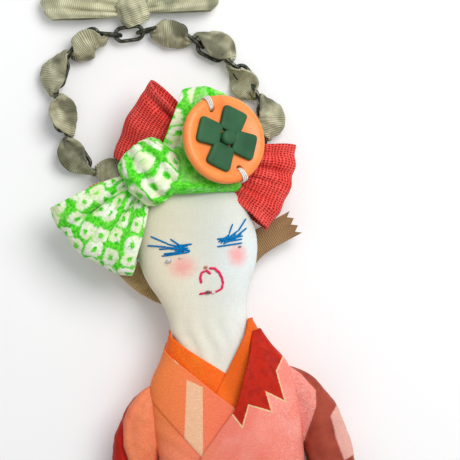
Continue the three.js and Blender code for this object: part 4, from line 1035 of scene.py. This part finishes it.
BAND_HALF_HEIGHT, BAND_HALF_DEPTH, BAND_LEAN, BAND_SLANT = 10.2, 3.4, 0.62, 0.13
SCARF_KNOT_WIDTH, SCARF_KNOT_DEPTH = 23.4, 15.5
SCARF_KNOT_PROFILE = [[0, 0.5, 0.42], [0.06, 0.78, 0.68], [0.18, 0.94, 0.9], [0.5, 1.04, 1.05], [0.82, 0.96, 0.9],
                      [0.94, 0.8, 0.68], [1, 0.52, 0.42]]
SIDE_LOOP_CREASES = [(0.4, 0.5, 0.07, 4.2), (-0.3, -0.15, 0.08, 2.2), (0.05, 0.08, 0.06, 1.8), (0.75, 0.8, 0.08, 1.4)]
RIGHT_LOOP_CREASES = [(-0.4, -0.3, 0.08, 2.0), (0.05, 0.0, 0.07, 2.2), (0.5, 0.45, 0.08, 1.8),
                      (-0.75, -0.7, 0.08, 1.2)]
RED_WIDTH = 38


def make_crown_band():
    """The padded band round the crown, gathered along its front and fuller over the forehead."""
    rows, around = 160, turns(40)
    width_share, depth_share = smooth_table(HEAD, (CROWN_Y - 8.5 - HEAD_BOTTOM) / HEAD_HEIGHT)
    u, v = rounded(around, 2.6)
    rings, centres = [], []
    for turn in turns(rows):
        x, z = (float(place) for place in rounded(turn, HEAD_SQUARENESS))
        reach = x * (width_share * HEAD_HALF_WIDTH)
        out = unit(vec(x / width_share, 0, z))
        across = unit(vec(0, 1, 0) - BAND_LEAN * out)
        normal = unit(np.cross(across, np.cross(out, across)))
        centre = vec(reach * 0.98, CROWN_Y - 1.5 - BAND_SLANT * reach,
                     HEAD_MIDDLE + z * depth_share * HEAD_HALF_DEPTH * 0.9)
        gather = 0.45 * np.cos(6.5 * u + 1.2 * math.sin(turn * 2)) * (v > 0)
        rise = 1 + 0.5 * bell(reach + 2, 8) * (z > 0)
        rings.append(centre + (u * BAND_HALF_HEIGHT * np.where(u > 0, rise, 1))[:, None] * across
                     + (v * (BAND_HALF_DEPTH + gather) * np.where(v > 0, rise, 1))[:, None] * normal)
        centres.append(centre)
    rings = np.array(rings)
    rings[..., 2] += 0.35 * ripple(rings, 8, 31)
    along = np.cumsum(np.linalg.norm(np.diff(centres, axis=0, prepend=centres[:1]), axis=1))
    across = np.abs(((around / TAU + 0.25) % 1) - 0.5) * 2 * 22
    obj = loft("scarf_crown_band", rings, np.stack(np.broadcast_arrays(across, along[:, None]), 2), True)
    cover(obj, dotted_green("green_band_silk", dots=0.12, pitch=8.5, seed=0.013), "doll", "green_cloth",
          "scarf_band")


def make_scarf():
    make_crown_band()
    path = [on_head(-0.79, 0.46, 0.7), on_head(-0.55, 0.06, 0.9), on_head(-0.26, -0.38, 0.8)]
    obj = bolster("scarf_puffy_knot", path, SCARF_KNOT_PROFILE, SCARF_KNOT_WIDTH, SCARF_KNOT_DEPTH, folds=3,
                  fold_share=0.14, wrinkle=0.6, seed=33, squareness=2.7, gather=0.2, gathers=9)
    cover(obj, dotted_green("green_knot_silk", pitch=9.5, seed=0.004), "doll", "green_cloth", "scarf_knot")
    make_loop("scarf_side_loop_cloth", dotted_green("green_dotted_silk"), "doll", "green_cloth", "scarf_side_loop",
              1.0, "gathered", ["scarf_puffy_knot"], on_head(-0.83, -0.158, 0.5), on_head(-1.72, -0.949, 0.3),
              root_width=14, tip_width=44, height=15, bulge=6, roll=0, pleats=3, pleat_depth=1.1, rows=100,
              columns=64, creases=SIDE_LOOP_CREASES, seed=41, wrinkle=0.5)
    fold_silk = dotted_green("green_fold_silk", dots=0.22, pitch=8.5, seed=0.021, edge=-0.0045)
    make_loop("scarf_upper_fold_cloth", fold_silk, "doll", "green_cloth", "scarf_upper_fold",
              1.0, "gathered", ["scarf_crown_band"], on_head(0.2, 0.12, 0.5), on_head(0.54, 1.15, 0.5),
              root_width=32, tip_width=20, height=9, bulge=3.0, roll=0, pleats=2, pleat_depth=0.4, rows=90,
              columns=48, creases=[(-0.55, -0.5, 0.1, 1.2), (0.3, 0.35, 0.1, 0.8)], seed=45, wrinkle=0.25)


def make_red_bow():
    red = knitted_red()
    make_loop("red_bow_left_loop", red, "doll", "red_mesh", "red_loop_left",
              0.9, "gathered", ["scarf_crown_band"], on_head(0.16, 0.32, -0.3), on_head(-0.72, 0.96, -0.2),
              root_width=0.4 * RED_WIDTH, tip_width=0.98 * RED_WIDTH, height=0.36 * RED_WIDTH,
              bulge=0.06 * RED_WIDTH, roll=-0.35, pleats=2, pleat_depth=0.8, rows=100, columns=60,
              creases=[(0.66, 0.74, 0.12, 4.5), (-0.3, -0.2, 0.14, 0.8)], seed=51, wrinkle=0.4)
    make_loop("red_bow_right_loop", red, "doll", "red_mesh", "red_loop_right",
              0.9, "gathered", ["scarf_crown_band"], on_head(0.593, -0.04, -0.3), on_head(1.52, -0.53, -0.3),
              root_width=0.32 * RED_WIDTH, tip_width=RED_WIDTH, height=0.36 * RED_WIDTH, bulge=0.1 * RED_WIDTH,
              roll=-0.15, pleats=4, pleat_depth=0.9, rows=100, columns=60, creases=RIGHT_LOOP_CREASES, seed=53,
              wrinkle=0.5)


BUTTON_AT = on_head(0.68, 0.36, 1.2)
BUTTON_SPIN, BUTTON_TILT, BUTTON_TILT_WAY = -1.27, -0.5, 1.41
BUTTON_RADIUS, BUTTON_THICK, RIM_HEIGHT = 18.6, 3.2, 1.0
HOLE_PLACE, HOLE_RADIUS, DRILL_ENDS = 13.6, 1.5, (-6.0, 12.0)
RIM_TOP = BUTTON_THICK + RIM_HEIGHT
BUTTON_PROFILE = [  # inset from the rim, height
    (BUTTON_RADIUS - 0.01, 0), (1.4, 0), (0.6, 0.18), (0.15, 0.7), (0, 1.5), (0.02, RIM_TOP - 1.7),
    (0.3, RIM_TOP - 0.9), (0.9, RIM_TOP - 0.3), (1.8, RIM_TOP), (2.8, RIM_TOP - 0.02), (4.0, RIM_TOP - 0.25),
    (5.2, RIM_TOP - 0.62), (6.6, BUTTON_THICK + 0.12), (8.0, BUTTON_THICK),
    (BUTTON_RADIUS - 0.01, BUTTON_THICK - 0.1),
]
PETAL_PLACE, PETAL_HALF, PETAL_FOOT = 8.15, 5.2, 3.5
PETAL_PROFILE = [(0.96, 0.0), (1.0, 0.25), (1.01, 0.9), (1.0, 1.5), (0.965, 1.85), (0.9, 2.02), (0.6, 2.05),
                 (0.3, 2.03)]  # share of its size, height
DOME_PROFILE = [(3.1, 4.0), (3.1, 6.2), (3.0, 6.9), (2.7, 7.35), (2.1, 7.6), (1.0, 7.7), (0.05, 7.72)]
TIE_ROUTE = [(13.3, 0.35, 0.8), (13.9, 0.4, 3.4), (15.4, 0.5, 4.4), (17.0, 0.55, 4.65), (18.5, 0.6, 4.2),
             (19.1, 0.6, 2.6), (19.0, 0.5, -0.5)]  # place outwards, spread between strands, height


def on_button(x, y, z):
    """Places about the middle of the button's back, put on the doll."""
    p = np.stack(np.broadcast_arrays(x, y, z), -1).astype(float)
    c, s = math.cos(BUTTON_SPIN), math.sin(BUTTON_SPIN)
    turned = np.stack([c * p[..., 0] - s * p[..., 1], s * p[..., 0] + c * p[..., 1], p[..., 2]], -1)
    axis = vec(math.cos(BUTTON_TILT_WAY), -math.sin(BUTTON_TILT_WAY), 0)
    c, s = math.cos(BUTTON_TILT), math.sin(BUTTON_TILT)
    dot = (turned @ axis)[..., None]
    return turned * c + np.cross(axis, turned) * s + axis * dot * (1 - c) + BUTTON_AT


def round_on_button(name, profile, sides, x=0.0):
    """A turned form on the button, from rows of radius and height."""
    angle = turns(sides)
    return loft(name, [on_button(x + r * np.cos(angle), r * np.sin(angle), z) for r, z in profile])


def drill(obj, drills):
    """Cuts drills out of a piece and removes them."""
    for tool in drills:
        cut = obj.modifiers.new("hole", "BOOLEAN")
        cut.operation = "DIFFERENCE"
        cut.object = tool
    bpy.context.view_layer.update()
    mesh = bpy.data.meshes.new_from_object(obj.evaluated_get(bpy.context.evaluated_depsgraph_get()))
    obj.modifiers.clear()
    obj.data = mesh
    for tool in drills:
        bpy.data.objects.remove(tool)
    mesh.polygons.foreach_set("use_smooth", [True] * len(mesh.polygons))


def make_button():
    obj = round_on_button("button_disc", [(BUTTON_RADIUS - inset, z) for inset, z in BUTTON_PROFILE], 144)
    drill(obj, [round_on_button(f"drill_{side}", [(HOLE_RADIUS, z) for z in DRILL_ENDS], 32, side * HOLE_PLACE)
                for side in (-1, 1)])
    cover(obj, plastic("orange_resin", "F99045", "F17F36", 0.38, 0.25, 0.3, 0.15, 0.3), "doll", "orange_button",
          "button")

    parts = []
    x, y = rounded(turns(72), 6.5)
    for k in range(4):
        a = (k + 0.5) / 4 * TAU + 0.05 * (-1) ** k
        rings = []
        for scale, z in PETAL_PROFILE:
            px, py = PETAL_PLACE + x * PETAL_HALF * scale, y * PETAL_HALF * scale * (1 + 0.1 * x)
            rings.append(on_button(px * math.cos(a) - py * math.sin(a), px * math.sin(a) + py * math.cos(a),
                                   z + PETAL_FOOT))
        parts.append(loft(f"petal_{k}", rings))
    parts.append(round_on_button("dome", DOME_PROFILE, 40))
    green = plastic("green_resin", "2C5B39", "224B2E", 0.6, 0.04, 0.5, 0.0, 0.2)
    cover(joined("button_flower_petals", parts), green, "doll", "green_flower", "button_flower")

    white = thread("white_thread", "F4F1EA", "CFCBBF")
    ties = [tube(f"tie_{side}_{k}", [on_button(side * out, spread * k, z) for out, spread, z in TIE_ROUTE], 0.36)
            for side in (-1, 1) for k in (-1.5, 0, 1.5)]
    cover(joined("button_ties", ties), white, "doll", "linen")


# Ribbons and chain

BACK_RIBBON_HEIGHT, BACK_RIBBON_WIDTH = 8.16, 10.6
BACK_RIBBON_ROUTE = [  # x, y, depth below the ribbon's height
    (-8, 122, 0), (-21, 133.5, -1), (-32, 141.5, -1.6), (-39.5, 141.5, -1.6), (-43, 133.5, -0.8), (-37, 120, 0.8),
    (-28.5, 106.5, 2), (-21.5, 99.5, 2.4), (-12, 94.5, 2.6), (0, 94.5, 2.6), (13, 101, 1.5), (25, 111, 0.3),
    (43, 118, 0),
]
PINK_CUT = 2.4  # depth of the zigzag cut at the ribbon's end


def ribbon_grid(curve, across_at, width_at, rows, columns, curl=0.0):
    """A ribbon along a curve, cupped across its width by a curl."""
    u = np.linspace(-1, 1, columns + 1)
    grid = []
    for share in np.arange(rows + 1) / rows:
        tangent = curve.tangent(share)
        across = across_at(share, tangent)
        half = width_at(share) / 2
        cup = (curl * (u**2 - 0.33) * half)[:, None] * unit(np.cross(tangent, across))
        grid.append(curve.at(share) + (u * half)[:, None] * across + cup)
    return np.array(grid)


def make_back_ribbon():
    curve = Curve([(x, y, BACK_RIBBON_HEIGHT - sink) for x, y, sink in BACK_RIBBON_ROUTE])
    rows, columns = 320, 24

    def across(share, tangent):
        x, y, _ = curve.at(share)
        tilt = 0.55 * smoothstep(x, 10, -12) * smoothstep(y, 125, 108)
        return unit(vec(-tangent[1], tangent[0], -tilt))

    grid = ribbon_grid(curve, across, lambda share: BACK_RIBBON_WIDTH, rows, columns)
    tooth = PINK_CUT * (2 * np.abs(np.linspace(0, 3, columns + 1) % 1 - 0.5) - 1)
    pull = smoothstep(np.arange(rows + 1), rows - 20, rows)
    grid = grid + pull[:, None, None] * tooth[:, None] * unit(grid[-1, columns // 2] - grid[-6, columns // 2])
    grid[..., 2] += 0.25 * ripple(grid, 10, 61)
    obj = shell("back_ribbon_silk", grid, cloth_uv(grid), 0.7)
    # far: painted shade on the right part of the ribbon, where its tail lies under the red loop
    cover(obj, grosgrain("brown_grosgrain", "EECB96", "D0AE7A", "8F7850", 0.85, far="A9845C"), "doll",
          "brown_ribbon", "back_ribbon")


def link_places():
    """The middle of each link in the frame, and the pivots before, between and after them."""
    middles = [(np.array(low) + np.array(high)) / 2 / MM
               for low, high in (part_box(f"link_{number:02d}") for number in range(1, LINKS + 1))]
    pivots = [vec(-0.213 * 80, NECK_Y + 0.555 * HEAD_HEIGHT, LINK_WIDTH / 2 + GAP)]
    for middle in middles:
        pivots.append(2 * middle - pivots[-1])
    return middles, pivots


middles, pivots = link_places()
LINK_SLACK = 0.6  # by which a link reaches past its pivots beyond its wire
STRAP_BODIES = (["strap_lower"] * 5 + ["strap_middle"] * 2 + ["strap_top"] * 12 + ["strap_middle"] * 2
                + ["strap_lower"] * 4)
TOP_LINK = 12
BESIDE_BUTTON = {16: (3.8, 2.0), 18: (2.2, 1.8)}  # reach and lift of the puffs that pass the button
PUFF_WIDTHS = table_of([[0, 3.8], [0.07, 5.2], [0.17, 9.2], [0.3, 11.8], [0.5, 12.6], [0.7, 11.8], [0.83, 9.2],
                        [0.93, 5.2], [1, 3.8]])
PUFF_ROWS, PUFF_COLUMNS, RIBBON_WIDTH = 110, 22, 13.5


def link_along(i):
    return unit(pivots[i + 1] - pivots[i])


def link_aside(i):
    a = link_along(i)
    return vec(-a[1], a[0], 0)


def make_links():
    metal = old_metal()
    bend = (LINK_WIDTH - WIRE) / 2
    for i in range(LINKS):
        along = link_along(i)
        across, normal = (UP, link_aside(i)) if i % 2 else (link_aside(i), UP)
        straight = np.linalg.norm(pivots[i + 1] - pivots[i]) + WIRE + LINK_SLACK - 2 * bend
        rings = []
        for end in (1, -1):
            for a in np.linspace(0, math.pi, 15) - end * math.pi / 2:
                out = along * math.cos(a) + across * math.sin(a)
                centre = middles[i] + along * (end * straight / 2) + out * bend
                rings.append(circle(centre, WIRE / 2, out, normal, turns(14)))
        obj = loft(f"chain_link_{i + 1:02d}", rings, closed=True)
        cover(obj, metal, STRAP_BODIES[i], "chain", f"link_{i + 1:02d}")


def make_puffs():
    """A puff of ribbon over every second link, on each side of the chain by turns."""
    # uneven sets the strength of the patches of painted shade in the puffs' hollows
    khaki = grosgrain("khaki_grosgrain", "E0DEBB", "A8A482", "4F4F3B", 0.8, uneven=0.75)
    for turn, i in enumerate(range(2, LINKS - 2, 2)):
        if i != TOP_LINK:
            make_puff(i, 1 if turn % 2 else -1, khaki)


def make_puff(i, side, material):
    """A ribbon that comes out between two links, arches beside the next and goes back in, leaning as its mood asks."""
    mouth, mood = 0.95, math.sin(2.7 * i)
    reach, lift = BESIDE_BUTTON.get(i, (2.5 + 0.7 * mood, 4.6))
    ahead = link_along(i) * 1.6

    def beside(j, out, up=0.0):
        return middles[j] + link_aside(j) * side * out + UP * up

    curve = Curve([beside(i - 1, mouth), beside(i - 1, 0.8 * reach, 0.6 * lift) + ahead, beside(i, reach, lift),
                   beside(i + 1, 0.8 * reach, 0.6 * lift) - ahead, beside(i + 1, mouth)])

    def across_at(share, tangent):
        lean = 1.05 * math.sin(share * math.pi) ** 0.8 + 0.42 * mood * math.sin(TAU * share)
        inward = unit(vec(tangent[1], -tangent[0], 0)) * side
        return unit(inward * math.sin(lean) + UP * math.cos(lean))

    grid = ribbon_grid(curve, across_at, lambda s: float(smooth_table(PUFF_WIDTHS, s)[0]), PUFF_ROWS, PUFF_COLUMNS,
                       curl=side * (0.2 + 0.35 * mood))
    u = np.linspace(-1, 1, PUFF_COLUMNS + 1)[None, :]
    share = np.linspace(0, 1, PUFF_ROWS + 1)[:, None]
    ends = (2 * share - 1) ** 2
    gather = 0.8 * ends * np.cos(2.6 * math.pi * u + i) + 0.12 * np.sin(share * 46 + 2 * u + i) * (1 - ends)
    grid = grid + normals_of(grid) * (gather + 0.18 * ripple(grid, 7, 70 + i))[..., None]
    uv = np.stack(np.broadcast_arrays(u * 6, share * curve.length * 1.15), 2)
    obj = shell(f"strap_ribbon_{i + 1:02d}", grid, uv, 0.7)
    cover(obj, material, None, "khaki_ribbon", f"ribbon_puff_{i + 1:02d}")
    first, last = STRAP_BODIES[i - 1], STRAP_BODIES[i + 1]
    if first == last:
        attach(obj, STRAP_BODIES[i])
    else:
        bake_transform(obj)


TAB_RADIUS, TAB_HALF_WIDTH = 2.65, 0.95
TAB_STEM = [[0, 1.9, 1.1], [0.5, 3.0, 1.5], [1, 4.2, 2.7]]


def make_tabs():
    """Two tabs of ribbon: a ring through the chain's last link and a stem up to the back of the head."""
    cloth = grosgrain("tab_ribbon", "B9AE84", "8F8763", "5E5A42", 0.7)
    for end, name, i, pivot in ((-1, "left", 0, pivots[0]), (1, "right", LINKS - 1, pivots[LINKS])):
        centre = pivot + link_along(i) * (end * (WIRE + LINK_SLACK) / 2)
        angle = turns(72)
        wavy = vec(0, 1, 0) * np.cos(angle)[:, None] + UP * np.sin(angle)[:, None]
        wavy = centre + wavy * (TAB_RADIUS + 0.05 * np.cos(5 * angle))[:, None]
        grid = wavy[:, None] + vec(1, 0, 0) * np.linspace(-TAB_HALF_WIDTH, TAB_HALF_WIDTH, 11)[:, None]
        ring = shell(f"tab_ring_{name}", grid, np.zeros(grid[..., :2].shape), 0.8, wrap_rows=True)
        x, y, z = centre
        path = [vec(x, y - 0.6 * TAB_RADIUS, z + 0.9 * TAB_RADIUS),
                vec(0.95 * x, y - 1.6 * TAB_RADIUS, z + 1.9 * TAB_RADIUS),
                vec(0.8 * x, y - 3.2 * TAB_RADIUS, HEAD_MIDDLE - 0.62 * HEAD_HALF_DEPTH)]
        stem = bolster(f"tab_stem_{name}", path, TAB_STEM, steps=30, sides=24, wrinkle=0.05, size=3, seed=80)
        cover(joined(f"tab_{name}_ribbon", [ring, stem]), cloth, "doll", "brown_ribbon", f"strap_tab_{name}")


BOW_SIZE, BOW_LENGTH = 13.0, 27.0
BOW_SHIFT = vec(3.2, 0.5 * BOW_SIZE + 3.2, 0.8)  # from the top link's middle to the bow's
BOW_PROFILE = [[0, 0.6, 0.35], [0.2, 1, 0.62], [0.8, 1, 0.62], [1, 0.7, 0.35]]


def make_strap_bow():
    # uneven sets the strength of the patches of painted shade on the bow
    khaki = grosgrain("bow_grosgrain", "EEECC6", "C9C6A2", "6F7059", 0.8, uneven=0.6)

    def on_bow(across, up, lift):
        return middles[TOP_LINK] + BOW_SHIFT + vec(across, up, lift) * BOW_SIZE

    obj = bolster("strap_bow_wrap", [on_bow(-0.1, 0.5, 0), on_bow(0, 0, 0.05), on_bow(0.1, -0.5, 0)], BOW_PROFILE,
                  BOW_SIZE, BOW_SIZE, 60, 60, folds=3, fold_share=0.12, wrinkle=0.2, size=6, seed=90)
    cover(obj, khaki, "strap_top", "khaki_ribbon", "strap_bow_knot")
    for side, name, rise in ((-1, "left", 7.0), (1, "right", 0.5)):
        root = on_bow(0.46 * side, 0.12, 0)
        make_loop(f"strap_bow_{name}_ribbon", khaki, "strap_top", "khaki_ribbon", f"strap_bow_loop_{name}",
                  0.8, "folded", ["strap_bow_wrap"], root, root + vec(side * BOW_LENGTH, rise, 0),
                  root_width=0.55 * BOW_SIZE, tip_width=1.15 * BOW_SIZE, height=0.75 * BOW_SIZE, bulge=5.0, roll=0,
                  pleats=3, pleat_depth=0.8, rows=90, columns=36,
                  creases=[(0.0, 0.1, 0.2, 1.2), (-0.5, -0.4, 0.15, 0.7)], seed=91 + side, wrinkle=0.4)


for make in (make_head, make_face, make_beads, make_torso, make_kimono, make_sash, make_sleeves, make_scarf,
             make_red_bow, make_button, make_back_ribbon, make_links, make_puffs, make_tabs, make_strap_bow):
    make()


# Floor and light

FLOOR_REACH = 6  # metres
LAMP_AT, LAMP_AIM, LAMP_SIZE, LAMP_POWER = (0.34, 0.4, 0.66), (0, 0.11, 0.02), (0.55, 0.45), 5.0
SKY_COLOUR, SKY_STRENGTH, FLOOR_GLOW = (0.97, 0.985, 1, 1), 0.48, 0.07


def make_studio():
    mesh = bpy.data.meshes.new("floor")
    corners = [(x * FLOOR_REACH, y * FLOOR_REACH, 0) for x, y in ((-1, -1), (1, -1), (1, 1), (-1, 1))]
    mesh.from_pydata(corners, [], [(0, 1, 2, 3)])
    floor = bpy.data.objects.new("floor", mesh)
    scene.collection.objects.link(floor)
    n = Nodes("floor_white")
    base = n.mix(n.noise(3.0), (0.87, 0.87, 0.87, 1), (0.89, 0.89, 0.885, 1))
    mesh.materials.append(n.finish(base, 0.9, Emission_Color=(1, 1, 1, 1), Emission_Strength=FLOOR_GLOW))
    data = bpy.data.lights.new("softbox", "AREA")
    data.shape, data.energy = "RECTANGLE", LAMP_POWER
    data.size, data.size_y = LAMP_SIZE
    lamp = bpy.data.objects.new("softbox", data)
    lamp.location = LAMP_AT
    lamp.rotation_euler = (Vector(LAMP_AT) - Vector(LAMP_AIM)).to_track_quat("Z", "Y").to_euler()
    scene.collection.objects.link(lamp)


def make_world():
    """Soft light on the object, and plain white where the camera, gloss or glass sees the world."""
    world = bpy.data.worlds.new("studio")
    scene.world = world
    world.use_nodes = True
    t = Tree(world.node_tree)
    camera, glossy, through = (t.node("LightPath", out=f"Is {ray} Ray") for ray in ("Camera", "Glossy", "Transmission"))
    seen = t.calc("ADD", t.plus(camera, glossy), through, use_clamp=True)
    light = t.node("Background", {0: SKY_COLOUR, 1: SKY_STRENGTH})
    white = t.node("Background", {0: (1, 1, 1, 1), 1: 1.0})
    out = t.tree.nodes.new("ShaderNodeOutputWorld")
    t.put(out.inputs[0], t.node("MixShader", {0: seen, 1: light, 2: white}))


make_studio()
make_world()
scene.view_settings.view_transform = "Standard"
bpy.context.view_layer.update()
